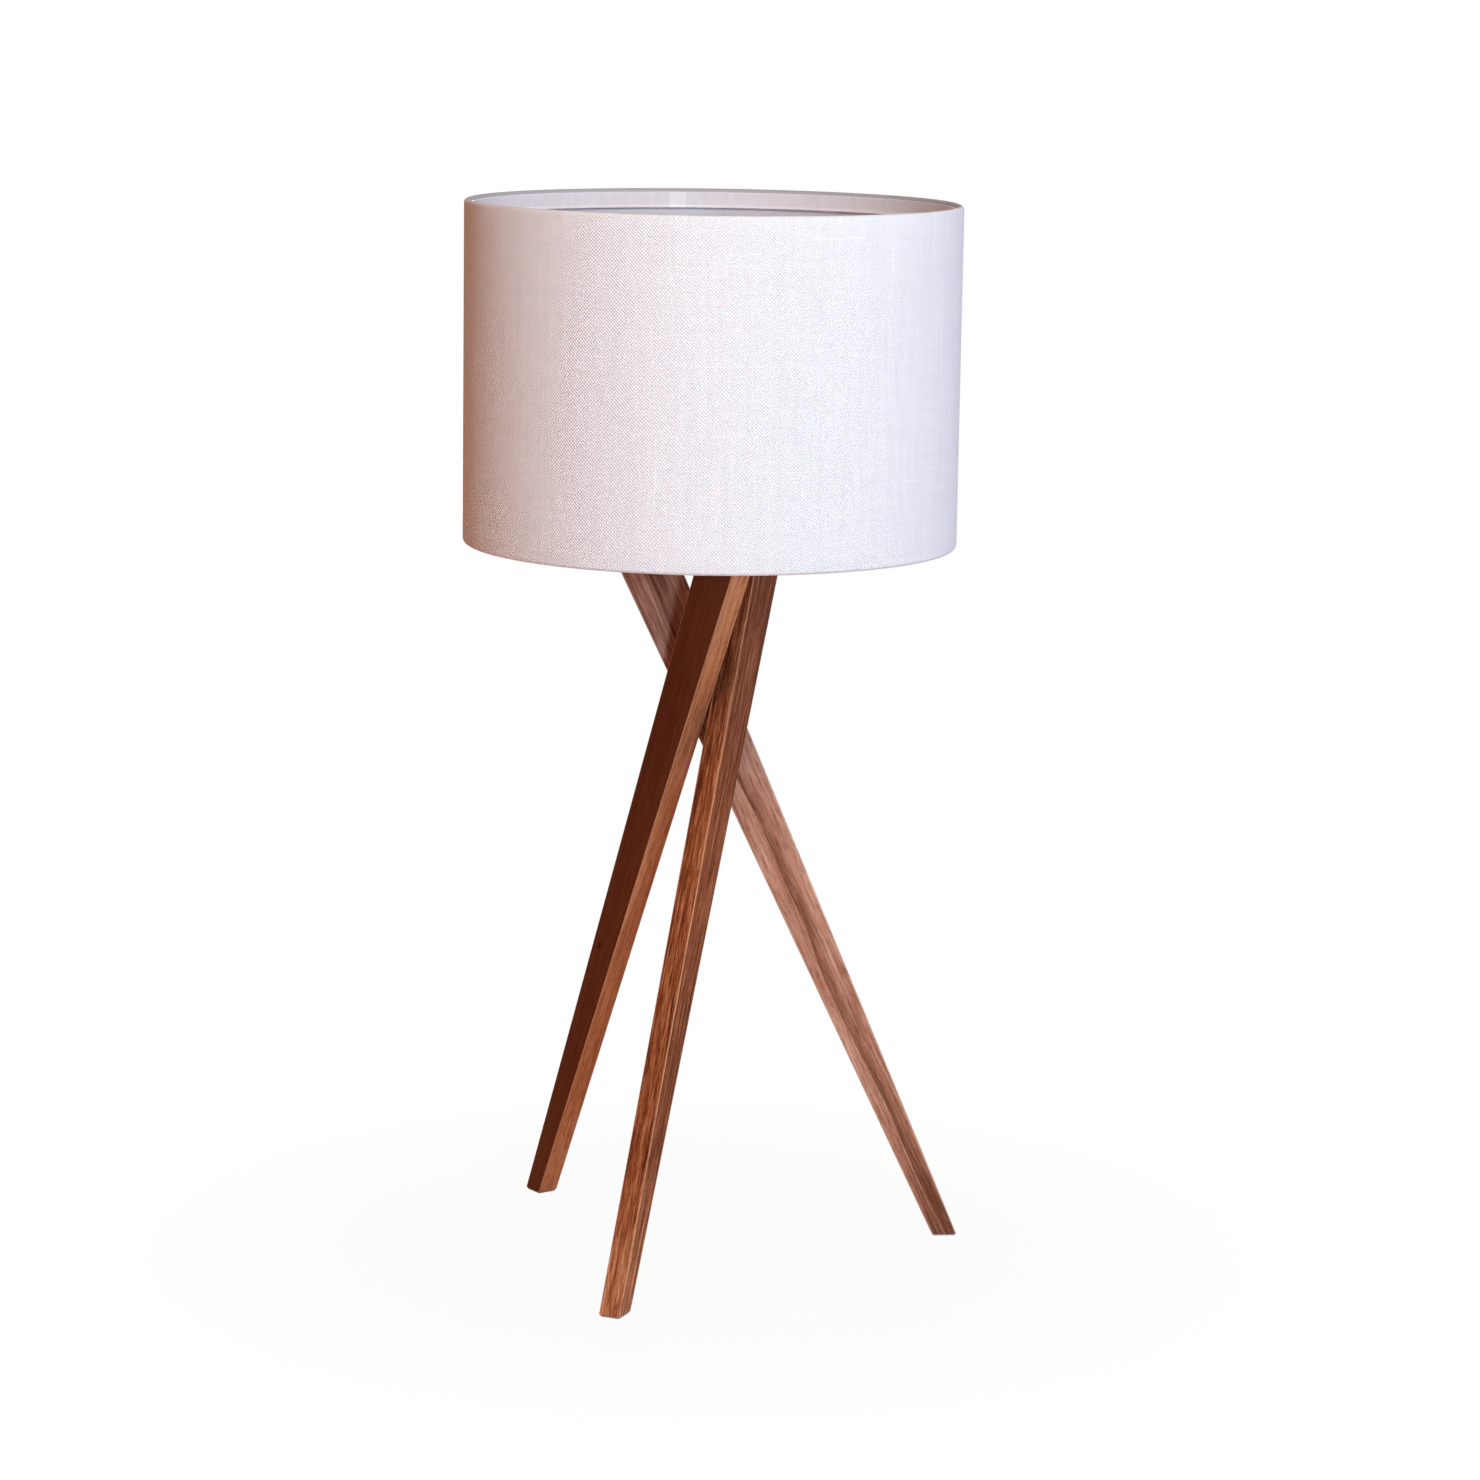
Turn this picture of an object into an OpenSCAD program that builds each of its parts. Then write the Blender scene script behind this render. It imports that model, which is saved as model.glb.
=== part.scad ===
// Tripod table lamp. Three tapered walnut boards lean past one another, meet corner to
// corner at the waist and carry a steel plate, a screw lamp holder and a linen drum shade.
// Lengths are in millimetres. The origin is on the lamp's axis, level with the table, +Z up.

/* [Legs] */
// Height of the sawn tops of the legs above the table
leg_h = 530; // [505:1:560]
// Thickness of the boards
leg_t = 16; // [13:0.5:20]
// Length of a foot's end face, along its board
foot_l = 18; // [14:0.5:26]
// Distance from the lamp's axis to the middle of a foot, along its board
foot_run = 182.5; // [150:0.5:215]
// Height at which the three boards meet corner to corner
waist_z = 405; // [380:1:430]
// Gap between the corners of neighbouring boards at the waist
waist_gap = 0.1; // [0.05:0.05:0.5]
// Direction in which the front leg leans, turned from +X
lean_az = 65.3; // [0:0.1:119]
// Thickness of the felt pad under each foot
pad_t = 1.2; // [0.8:0.1:3]
// How far a felt pad stays inside the edges of its foot
pad_inset = 0.8; // [0.3:0.1:2]

/* [Waist joint] */
// Distance from the axis to each glued face of the three-sided block
block_r = 11.5; // [10:0.5:14]
// Height of the block
block_h = 20; // [12:1:36]
// How much is rounded off each sharp corner of the block
block_corner_cut = 4; // [2:0.5:6]
// Diameter of the dowels that cross from the block into the legs
dowel_d = 6; // [4:0.5:7]
// Depth of a dowel in its leg
dowel_in_leg = 10; // [7:0.5:11]
// Diameter of the upright hole in the block, for the cable
cable_hole_d = 8; // [7:0.5:9]
// Wood left between the inner end of a dowel and the cable's hole
dowel_tip_wood = 1.2; // [1:0.1:2]
// Radial clearance of a dowel in its hole
dowel_fit = 0.05; // [0.02:0.01:0.1]
// Empty depth behind the end of a dowel
dowel_end_gap = 0.4; // [0.1:0.1:0.6]

/* [Top plate] */
// Width of the steel plate outside the middles of its outer screws
plate_margin = 7.8; // [6:0.1:20]
// Thickness of the steel plate
plate_t = 3; // [2.5:0.5:5]
// Distance from the inner end of a leg's top to its first screw
screw_inset = 11; // [8:0.5:13]
// Spacing of the two screws in a leg
screw_pitch = 17; // [12:0.5:18]
// Diameter of a wood screw's shank
screw_d = 4; // [3:0.5:5]
// Diameter of a screw's countersunk head
screw_head_d = 8; // [7:0.5:9]
// Length of a screw, head included
screw_l = 30; // [20:1:34]
// Length of a screw's point
screw_point_l = 5; // [3:0.5:7]
// Width of each arm of the cross in a screw's head
screw_cross_w = 0.9; // [0.6:0.1:1.2]
// Length of the cross in a screw's head
screw_cross_l = 4.2; // [3:0.2:5]
// Depth of the cross in a screw's head
screw_cross_depth = 1.2; // [0.8:0.1:1.6]
// Radial clearance of the screws in the plate
screw_fit = 0.15; // [0.05:0.05:0.3]
// Radial clearance of the screws in the wood
screw_bite = 0.03; // [0.02:0.01:0.1]

/* [Nipple and cable bush] */
// Diameter of the threaded nipple
nipple_d = 10; // [9:0.5:11]
// Bore of the nipple, for the cable
nipple_bore_d = 7.5; // [7:0.1:8]
// Length of the nipple below the plate
nipple_below = 12; // [10:0.5:16]
// Length of the nipple above the plate
nipple_above = 9; // [6:0.5:11]
// Radial clearance of the threads, drawn plain
thread_fit = 0.05; // [0.02:0.01:0.1]
// Width of the nipple's nut across its flats
nut_af = 17; // [15:0.5:19]
// Height of the nut
nut_h = 5; // [4:0.5:6]
// Diameter of the washer
washer_d = 21; // [18:0.5:26]
// Thickness of the washer
washer_t = 1.5; // [1:0.1:2]
// Bore of the cable bush
bush_bore_d = 6.2; // [5:0.1:6.4]
// Diameter of the bush's flange
bush_flange_d = 13; // [12:0.5:16]
// Height of the bush's flange
bush_flange_h = 3; // [2:0.5:5]
// Length of the bush inside the nipple
bush_spigot_l = 8; // [5:0.5:10]

/* [Lamp holder] */
// Diameter of the holder's cap
cap_d = 39; // [38:0.5:42]
// Height of the cap below the body
cap_h = 18; // [17:0.5:24]
// Thickness of the cap's side wall
cap_wall = 2.7; // [2:0.1:3]
// Thickness of the cap's floor
cap_floor = 4; // [3:0.5:6]
// Chamfer round the bottom of the cap
cap_chamfer = 1.5; // [0.5:0.1:2.5]
// Length of the cap's threaded neck, inside the body
neck_h = 12; // [8:0.5:14]
// Wall of the cap's neck
neck_wall = 2.2; // [1.5:0.1:2.5]
// Diameter of the holder's body, which the shade's hub drops over
body_d = 40; // [39:0.2:42]
// Wall of the body round the cap's neck
body_wall = 2.85; // [2.4:0.05:3.2]
// Height of the body
body_h = 50; // [48:0.5:54]
// Thickness of the shoulder that holds the insulator down
body_shoulder = 1; // [0.6:0.1:1.6]
// Thickness of the lip round the body's mouth
lip_t = 2; // [1.5:0.1:3]
// Chamfer round the body's mouth
lip_chamfer = 1; // [0.5:0.1:1.5]
// Gap between the cap and the body
body_gap = 0.2; // [0.1:0.1:0.5]
// Thickness of the porcelain insulator
insulator_t = 8; // [6:0.5:10]
// Thickness of the brass in the shell and the tongue
brass_t = 0.5; // [0.4:0.1:0.7]
// Height of the screw shell
shell_h = 26; // [22:0.5:26]
// Diameter of the hole in the floor of the screw shell
shell_hole_d = 16; // [15:0.5:18]
// Height of the centre contact's tongue
tongue_h = 3.7; // [3:0.1:5]
// Width of the tongue
tongue_w = 5; // [4:0.5:7]
// Reach of the tongue to each side of the axis
tongue_reach = 5.5; // [4:0.5:6]
// Distance from the axis to each cable terminal
terminal_x = 8; // [7:0.5:9]
// Side of each square terminal block
terminal_w = 6; // [5:0.5:7]
// Height of each terminal block
terminal_h = 5; // [4:0.5:6]
// Diameter of the terminals' cable holes
terminal_hole_d = 2.6; // [2:0.1:3]
// Diameter of the terminal screws
terminal_screw_d = 2.6; // [2:0.1:3]
// How far a terminal screw stands out of its block
terminal_screw_out = 1.5; // [1:0.5:3]

/* [Switch] */
// Height of the switch's shaft above the plate
switch_z = 11; // [10.5:0.5:11.5]
// Direction of the switch's knob, turned from +X
switch_az = 0; // [0:5:355]
// Diameter of the shaft
shaft_d = 5; // [4:0.5:6]
// Radial clearance of the shaft where it runs
shaft_fit = 0.06; // [0.03:0.01:0.1]
// Diameter of the boss that the shaft comes out of
boss_d = 11; // [10:0.5:12]
// How far the boss stands out of the cap
boss_out = 3.5; // [2:0.5:6]
// Diameter of the knob
knob_d = 15; // [13:0.5:16]
// Length of the knob
knob_l = 13; // [10:0.5:18]
// Gap between the knob and the boss
knob_gap = 0.4; // [0.3:0.1:1]
// Number of flutes round the knob
knob_flutes = 12; // [8:1:16]
// Diameter of each flute
flute_d = 2.4; // [1.5:0.1:2.6]
// Depth of the shaft's seat in the knob
shaft_in_knob = 10; // [6:0.5:9.5]
// Distance from the axis to the inner face of the switch's contact block
switch_block_x = 6.5; // [6:0.5:7]
// Thickness of the contact block
switch_block_t = 5; // [4:0.5:5]
// Width of the contact block
switch_block_w = 12; // [10:0.5:14]
// Height of the contact block
switch_block_h = 12; // [11:0.5:13]
// Diameter of the shaft's collar, inside the cap
collar_d = 8; // [7:0.5:9]
// Thickness of the shaft's collar
collar_t = 1.5; // [1:0.1:2]

/* [Shade rings on the holder] */
// Height of the shade's seat above the plate
seat_h = 39; // [36:0.5:42]
// Outer diameter of the seat ring and the retaining ring
ring_d = 54; // [50:0.5:58]
// Height of the seat ring
seat_ring_h = 6; // [5:0.5:9]
// Height of the retaining ring
retaining_ring_h = 7; // [6:0.5:10]
// Number of grip notches round each ring
ring_notches = 18; // [12:1:24]
// Diameter of each grip notch
notch_d = 4; // [3:0.5:5]
// Radial clearance of the retaining ring and the shade's hub round the holder
slip_fit = 0.3; // [0.3:0.05:0.6]
// Gap under the retaining ring
ring_gap = 0.1; // [0.05:0.05:0.3]

/* [Shade] */
// Outer diameter of the drum shade
shade_d = 350; // [300:1:400]
// Height of the drum shade
shade_h = 240.5; // [200:0.5:280]
// Depth of the shade's lower rim below the seat
shade_drop = 55.6; // [50:0.1:60]
// Thickness of the linen
linen_t = 0.7; // [0.5:0.1:1.2]
// Thickness of the styrene lining
lining_t = 0.8; // [0.4:0.1:1.2]
// Diameter of the wire in the top and bottom rims
rim_wire_d = 3; // [2.5:0.1:4]
// Gap between a rim wire and the linen rolled over it
roll_gap = 0.3; // [0.2:0.05:0.5]
// Height of the glossy hem band inside each rim
band_h = 9; // [6:0.5:14]
// Thickness of the hem bands
band_t = 0.6; // [0.4:0.1:1]
// Width of the lapped seam down the linen
seam_w = 12; // [8:0.5:18]
// Direction of the seam, turned from +X
seam_az = 108; // [60:1:140]
// How far the seam stands proud of the linen
seam_t = 0.4; // [0.3:0.1:0.6]

/* [Shade spider] */
// Diameter of the three arms
arm_d = 3.5; // [3:0.1:4]
// Direction of the first arm, turned from +X
arm_az = 30; // [25:1:35]
// Outer diameter of the hub that sits on the holder
hub_d = 58; // [56:0.5:64]
// Thickness of the hub
hub_t = 2; // [1.5:0.1:3]
// Clearance of the linen round the arms
arm_notch = 0.3; // [0.2:0.1:0.6]
// How deep the arms' ends are welded into the wire and the hub
weld_in = 0.15; // [0.05:0.05:0.25]

/* [Bulb] */
// Diameter of the bulb's threaded cap
bulb_thread_d = 26.1; // [25.8:0.1:26.2]
// Pitch of the bulb's thread
bulb_pitch = 3.6; // [3:0.1:4]
// Depth of the rounded thread
thread_depth = 0.4; // [0.3:0.05:0.5]
// Radial clearance between the bulb's cap and the screw shell
bulb_fit = 0.3; // [0.3:0.05:0.6]
// Thickness of the metal in the bulb's cap
bulb_cap_t = 0.35; // [0.3:0.05:0.5]
// Height of the bulb's cap, end contact included
bulb_cap_h = 26.5; // [25:0.5:28]
// Gap between the tongue and the bulb's end contact
bulb_gap = 0.3; // [0.2:0.1:0.5]
// Diameter of the end contact
bulb_contact_d = 9; // [8:0.5:10]
// Height of the end contact
bulb_contact_h = 1.2; // [1:0.1:1.6]
// Height of the black glass between the end contact and the cap
bulb_black_h = 4.4; // [4:0.1:5]
// Diameter of the globe
bulb_d = 60; // [55:1:65]
// Length of the bulb
bulb_l = 108; // [100:1:112]
// Diameter of the glass neck inside the cap
bulb_neck_d = 24.6; // [24:0.1:24.8]
// Length of the glass neck inside the cap
bulb_neck_l = 5; // [3:0.5:8]
// Thickness of the glass
bulb_glass_t = 1; // [0.8:0.1:1.5]
// Height of the glass stem above the neck's end
stem_l = 30; // [24:1:36]
// Diameter of the stem's rod
stem_d = 5; // [4:0.5:7]
// Gap between the stem's flare and the glass neck round it
stem_gap = 0.2; // [0.1:0.1:0.5]
// Length of each light stick
stick_l = 30; // [24:1:34]
// Diameter of each light stick
stick_d = 1.6; // [1:0.1:2]
// Lean of the light sticks from upright
stick_lean = 22; // [15:1:26]
// Gap between the stem's top and the foot of a light stick
stick_gap = 0.1; // [0.05:0.05:0.3]

/* [Hidden] */
$fn = 96;

// Overshoot of a cutting shape past the face that it opens
cut = 1;
// Three legs and three arms stand at equal angles
third = 360 / 3;
// Half the length of a board at the waist, where it spans one side of the block
waist_half = block_r * tan(60) - waist_gap;
// Depth of a dowel in the block
dowel_in_block = block_r - cable_hole_d / 2 - dowel_tip_wood;
// Height of a screw's 90 degree head
screw_head_h = (screw_head_d - screw_d) / 2;

// Heights of the faces that pieces stand on
plate_top = leg_h + plate_t;
body_bottom = plate_top + cap_h + body_gap;
neck_top = plate_top + cap_h + neck_h;
insulator_top = neck_top + insulator_t;
body_top = body_bottom + body_h;
shaft_z = plate_top + switch_z;
seat_top = plate_top + seat_h;
hub_top = seat_top + hub_t;
shade_bottom = seat_top - shade_drop;
shade_top = shade_bottom + shade_h;
bulb_bottom = insulator_top + tongue_h + bulb_gap;
bulb_cap_top = bulb_bottom + bulb_cap_h;
black_glass_top = bulb_bottom + bulb_contact_h + bulb_black_h;

// Radii of the holder's nested walls
neck_r = body_d / 2 - body_wall - thread_fit;
body_inner_r = body_d / 2 - body_wall - body_shoulder;
shell_r = bulb_thread_d / 2 + bulb_fit + thread_depth;
lip_r = shell_r + brass_t;

// Rim wire: its radius, its middle's distance from the rim's edges, and the circle it is bent to
wire_r = rim_wire_d / 2;
rim_inset = linen_t + roll_gap + wire_r;
wire_circle_r = shade_d / 2 - rim_inset;
lining_r = shade_d / 2 - linen_t;

// Arms run from the bottom wire up to the edge of the hub
arm_low = [wire_circle_r, shade_bottom + rim_inset];
arm_high = [hub_d / 2, hub_top - hub_t / 2];
arm_angle = atan2(arm_high[1] - arm_low[1], arm_low[0] - arm_high[0]);
arm_l = norm(arm_high - arm_low) - wire_r + 2 * weld_in;

// Globe of the bulb: its middle, and the slope of the cone that runs from it to the neck
globe_z = bulb_bottom + bulb_l - bulb_d / 2;
globe_rise = globe_z - bulb_cap_top;
neck_far = norm([bulb_neck_d / 2, globe_rise]);
cone_slope = asin(bulb_d / 2 / neck_far) - atan2(bulb_neck_d / 2, globe_rise);

// Distance along a board, from the point nearest the axis, of its two edges at height z
function lead_x(z) = -foot_run + foot_l / 2 + (waist_half + foot_run - foot_l / 2) * z / waist_z;
function trail_x(z) = -foot_run - foot_l / 2 + (foot_run + foot_l / 2 - waist_half) * z / waist_z;
// Distance along a board of its screw i
function screw_x(i) = trail_x(leg_h) + screw_inset + i * screw_pitch;
// Radius of the steel plate, which reaches past the outer screws
plate_r = norm([screw_x(1), block_r + leg_t / 2]) + plate_margin;
// One side of a rounded thread, n turns long, as points [radius, height]
function thread_side(r, z, n) =
    [for (i = [0:8 * n]) [r - thread_depth * (1 + cos(i * 360 / 8)) / 2, z + i * bulb_pitch / 8]];
function reversed(p) = [for (i = [len(p) - 1:-1:0]) p[i]];

// Places children on the inner face of leg n: +X along the board, +Y towards the axis
module at_leg(n) {
    rotate([0, 0, lean_az + n * third])
        translate([0, -block_r, 0])
            children();
}

// A tube standing on height z
module tube(z, h, outer, inner) {
    translate([0, 0, z])
        difference() {
            cylinder(h = h, r = outer);
            translate([0, 0, -cut]) cylinder(h = h + 2 * cut, r = inner);
        }
}

// ---- Legs and waist ----

module dowel(grow, end_gap) {
    translate([0, dowel_in_block + end_gap, waist_z])
        rotate([90, 0, 0])
            cylinder(h = dowel_in_block + dowel_in_leg + 2 * end_gap, d = dowel_d + 2 * grow);
}

// A countersunk wood screw with its head's top at height 0
module screw_form(grow) {
    rotate_extrude()
        polygon([
            [0, -screw_l - grow],
            [screw_d / 2 + grow, -screw_l + screw_point_l],
            [screw_d / 2 + grow, -screw_head_h],
            [screw_head_d / 2 + grow, 0],
            [0, 0]
        ]);
}

module at_screws(n) {
    for (i = [0:1])
        at_leg(n)
            translate([screw_x(i), -leg_t / 2, plate_top])
                children();
}

module leg(n) {
    color("#7d4f35")
        difference() {
            at_leg(n)
                rotate([90, 0, 0])
                    linear_extrude(leg_t)
                        polygon([
                            [lead_x(pad_t), pad_t],
                            [lead_x(leg_h), leg_h],
                            [trail_x(leg_h), leg_h],
                            [trail_x(pad_t), pad_t]
                        ]);
            at_leg(n) dowel(dowel_fit, dowel_end_gap);
            at_screws(n) screw_form(screw_bite);
        }
}

module front_leg() leg(0);
module right_leg() leg(1);
module left_leg() leg(2);

module foot_pads() {
    color("#b9b2a6")
        for (n = [0:2])
            at_leg(n)
                translate([-foot_run - foot_l / 2 + pad_inset, -leg_t + pad_inset, 0])
                    cube([foot_l - 2 * pad_inset, leg_t - 2 * pad_inset, pad_t]);
}

module waist_block() {
    color("#5c3826")
        difference() {
            translate([0, 0, waist_z - block_h / 2])
                linear_extrude(block_h)
                    intersection() {
                        rotate(lean_az - 90 - third / 2) circle(r = 2 * block_r, $fn = 3);
                        circle(r = 2 * block_r - block_corner_cut);
                    }
            translate([0, 0, waist_z - block_h / 2 - cut])
                cylinder(h = block_h + 2 * cut, d = cable_hole_d);
            for (n = [0:2]) at_leg(n) dowel(dowel_fit, dowel_end_gap);
        }
}

module waist_dowels() {
    color("#c9a26f")
        for (n = [0:2]) at_leg(n) dowel(0, 0);
}

// ---- Plate, nipple and cable bush ----

module top_plate() {
    color("#26272a")
        difference() {
            tube(leg_h, plate_t, plate_r, nipple_d / 2 + thread_fit);
            for (n = [0:2]) at_screws(n) screw_form(screw_fit);
        }
}

module plate_screws() {
    color("#c3b28a")
        for (n = [0:2])
            at_screws(n)
                difference() {
                    screw_form(0);
                    for (a = [0, 90])
                        rotate([0, 0, a])
                            translate([-screw_cross_l / 2, -screw_cross_w / 2, -screw_cross_depth])
                                cube([screw_cross_l, screw_cross_w, screw_cross_depth + cut]);
                }
}

module nipple() {
    color("#b8b9bd")
        tube(leg_h - nipple_below, nipple_below + plate_t + nipple_above,
            nipple_d / 2, nipple_bore_d / 2);
}

module nipple_washer() {
    color("#b8b9bd") tube(leg_h - washer_t, washer_t, washer_d / 2, nipple_d / 2 + thread_fit);
}

module nipple_nut() {
    color("#b8b9bd")
        translate([0, 0, leg_h - washer_t - nut_h])
            difference() {
                cylinder(h = nut_h, r = nut_af / 2 / cos(30), $fn = 6);
                translate([0, 0, -cut]) cylinder(h = nut_h + 2 * cut, r = nipple_d / 2 + thread_fit);
            }
}

module cable_bush() {
    color("#1d1d1f")
        translate([0, 0, leg_h - nipple_below])
            difference() {
                union() {
                    translate([0, 0, -bush_flange_h]) cylinder(h = bush_flange_h, d = bush_flange_d);
                    cylinder(h = bush_spigot_l, r = nipple_bore_d / 2 - thread_fit);
                }
                translate([0, 0, -bush_flange_h - cut])
                    cylinder(h = bush_flange_h + bush_spigot_l + 2 * cut, d = bush_bore_d);
            }
}

// ---- Lamp holder ----

module at_switch() {
    translate([0, 0, shaft_z])
        rotate([0, 0, switch_az])
            rotate([0, 90, 0])
                children();
}

module holder_cap() {
    cavity_r = cap_d / 2 - cap_wall;
    color("#1f1e1f")
        difference() {
            union() {
                rotate_extrude()
                    polygon([
                        [0, plate_top],
                        [cap_d / 2 - cap_chamfer, plate_top],
                        [cap_d / 2, plate_top + cap_chamfer],
                        [cap_d / 2, plate_top + cap_h],
                        [neck_r, plate_top + cap_h],
                        [neck_r, neck_top],
                        [0, neck_top]
                    ]);
                at_switch() cylinder(h = cap_d / 2 + boss_out, d = boss_d);
            }
            translate([0, 0, plate_top + cap_floor])
                cylinder(h = cap_h - cap_floor - cap_wall, r = cavity_r);
            translate([0, 0, plate_top + cap_floor])
                cylinder(h = cap_h + neck_h, r = neck_r - neck_wall);
            translate([0, 0, plate_top - cut])
                cylinder(h = cap_floor + 2 * cut, r = nipple_d / 2 + thread_fit);
            at_switch() cylinder(h = cap_d / 2 + boss_out + cut, r = shaft_d / 2 + shaft_fit);
        }
}

module holder_body() {
    color("#1f1e1f")
        rotate_extrude()
            polygon([
                [body_d / 2 - body_wall, body_bottom],
                [body_d / 2, body_bottom],
                [body_d / 2, body_top - lip_chamfer],
                [body_d / 2 - lip_chamfer, body_top],
                [lip_r, body_top],
                [lip_r, body_top - lip_t],
                [body_inner_r, body_top - lip_t],
                [body_inner_r, insulator_top],
                [body_d / 2 - body_wall, insulator_top]
            ]);
}

// A ring of grip notches is cut round both rings of the holder
module grip_ring(z, h, bore_r) {
    difference() {
        tube(z, h, ring_d / 2, bore_r);
        for (i = [1:ring_notches])
            rotate([0, 0, i * 360 / ring_notches])
                translate([ring_d / 2 + notch_d / 4, 0, z - cut])
                    cylinder(h = h + 2 * cut, d = notch_d, $fn = 32);
    }
}

module seat_ring() {
    color("#1f1e1f") grip_ring(seat_top - seat_ring_h, seat_ring_h, body_d / 2 + thread_fit);
}

module holder_insulator() {
    color("#efe9dd")
        translate([0, 0, neck_top])
            cylinder(h = insulator_t, r = neck_r);
}

module at_terminals() {
    for (side = [-1, 1])
        translate([0, side * terminal_x, neck_top - terminal_h])
            children();
}

module terminals() {
    color("#c7a24c")
        at_terminals()
            difference() {
                translate([-terminal_w / 2, -terminal_w / 2, 0])
                    cube([terminal_w, terminal_w, terminal_h]);
                translate([0, 0, -cut]) cylinder(h = terminal_h, d = terminal_hole_d);
                translate([-terminal_w / 2 - cut, 0, terminal_h / 2])
                    rotate([0, 90, 0])
                        cylinder(h = terminal_w / 2 + cut, r = terminal_screw_d / 2 + thread_fit);
            }
}

module terminal_screws() {
    color("#b8b9bd")
        at_terminals()
            translate([-terminal_w / 2 - terminal_screw_out, 0, terminal_h / 2])
                rotate([0, 90, 0])
                    cylinder(h = terminal_w / 2 - terminal_hole_d / 2 + terminal_screw_out,
                        d = terminal_screw_d);
}

module screw_shell() {
    turns = floor((shell_h - brass_t) / bulb_pitch);
    outer = thread_side(shell_r + brass_t, insulator_top + brass_t, turns);
    inner = thread_side(shell_r, insulator_top + brass_t, turns);
    color("#c7a24c")
        rotate_extrude()
            polygon(concat(
                [[shell_hole_d / 2, insulator_top], [shell_r, insulator_top]],
                outer,
                reversed(inner),
                [[shell_hole_d / 2, insulator_top + brass_t]]
            ));
}

module centre_contact() {
    h = tongue_h;
    fold = tongue_reach - brass_t * 1.5;
    color("#c7a24c")
        translate([0, tongue_w / 2, insulator_top])
            rotate([90, 0, 0])
                linear_extrude(tongue_w)
                    polygon([
                        [-tongue_reach, 0],
                        [tongue_reach, 0],
                        [tongue_reach, brass_t],
                        [-fold, brass_t],
                        [-fold / 2, h - brass_t],
                        [fold, h - brass_t],
                        [fold, h],
                        [-fold / 2 - brass_t, h]
                    ]);
}

// ---- Switch ----

module switch_block() {
    color("#efe9dd")
        difference() {
            rotate([0, 0, switch_az])
                translate([switch_block_x, -switch_block_w / 2, plate_top + cap_floor])
                    cube([switch_block_t, switch_block_w, switch_block_h]);
            at_switch() cylinder(h = cap_d, r = shaft_d / 2 + shaft_fit);
        }
}

module switch_shaft() {
    collar_x = cap_d / 2 - cap_wall - collar_t - 2 * knob_gap;
    color("#b8b9bd")
        at_switch() {
            translate([0, 0, switch_block_x])
                cylinder(h = cap_d / 2 + boss_out + knob_gap + shaft_in_knob - switch_block_x,
                    d = shaft_d);
            translate([0, 0, collar_x]) cylinder(h = collar_t, d = collar_d);
        }
}

module switch_knob() {
    knob_x = cap_d / 2 + boss_out + knob_gap;
    color("#1f1e1f")
        at_switch()
            difference() {
                translate([0, 0, knob_x]) cylinder(h = knob_l, d = knob_d);
                translate([0, 0, knob_x - cut])
                    cylinder(h = shaft_in_knob + cut, r = shaft_d / 2 + thread_fit);
                for (i = [1:knob_flutes])
                    rotate([0, 0, i * 360 / knob_flutes])
                        translate([knob_d / 2 + flute_d / 4, 0, knob_x - cut])
                            cylinder(h = knob_l + 2 * cut, d = flute_d, $fn = 32);
            }
}

// ---- Shade ----

// Linen wall, rolled inwards over the wire at the top rim, or at the bottom rim when flipped
module linen_roll() {
    difference() {
        circle(r = rim_inset);
        circle(r = rim_inset - linen_t);
        translate([-2 * rim_inset, -2 * rim_inset]) square([4 * rim_inset, 2 * rim_inset]);
    }
    translate([-rim_inset, -wire_r]) square([linen_t, wire_r]);
}

module spider_arms_at(grow) {
    for (n = [0:2])
        rotate([0, 0, arm_az + n * third])
            translate([arm_low[0], 0, arm_low[1]])
                rotate([0, arm_angle - 90, 0])
                    translate([0, 0, wire_r - weld_in])
                        cylinder(h = arm_l, d = arm_d + 2 * grow, $fn = 48);
}

module shade_linen() {
    color("#e6e0dc")
        difference() {
            union() {
                rotate_extrude() {
                    translate([lining_r, shade_bottom + rim_inset])
                        square([linen_t, shade_h - 2 * rim_inset]);
                    translate([wire_circle_r, shade_top - rim_inset]) linen_roll();
                    translate([wire_circle_r, shade_bottom + rim_inset])
                        mirror([0, 1]) linen_roll();
                }
                rotate([0, 0, seam_az])
                    rotate_extrude(angle = seam_w / shade_d * 360 / PI)
                        translate([lining_r, shade_bottom + rim_inset])
                            square([linen_t + seam_t, shade_h - 2 * rim_inset]);
            }
            spider_arms_at(arm_notch);
        }
}

module shade_lining() {
    color("#dedbe2")
        tube(shade_bottom + 2 * rim_inset, shade_h - 4 * rim_inset, lining_r, lining_r - lining_t);
}

module rim_wire(z) {
    color("#d8d8d6")
        translate([0, 0, z])
            rotate_extrude()
                translate([wire_circle_r, 0])
                    circle(r = wire_r, $fn = 32);
}

module shade_top_wire() rim_wire(shade_top - rim_inset);
module shade_bottom_wire() rim_wire(shade_bottom + rim_inset);

module hem_band(z) {
    outer = lining_r - lining_t;
    color("#f4f3f2") tube(z, band_h, outer, outer - band_t);
}

module shade_top_band() hem_band(shade_top - 2 * rim_inset - band_h);
module shade_bottom_band() hem_band(shade_bottom + 2 * rim_inset);

module spider_hub() {
    color("#ececea") tube(seat_top, hub_t, hub_d / 2, body_d / 2 + slip_fit);
}

module spider_arms() {
    color("#ececea") spider_arms_at(0);
}

module retaining_ring() {
    color("#1f1e1f")
        grip_ring(hub_top + ring_gap, retaining_ring_h, body_d / 2 + slip_fit);
}

// ---- Bulb ----

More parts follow.
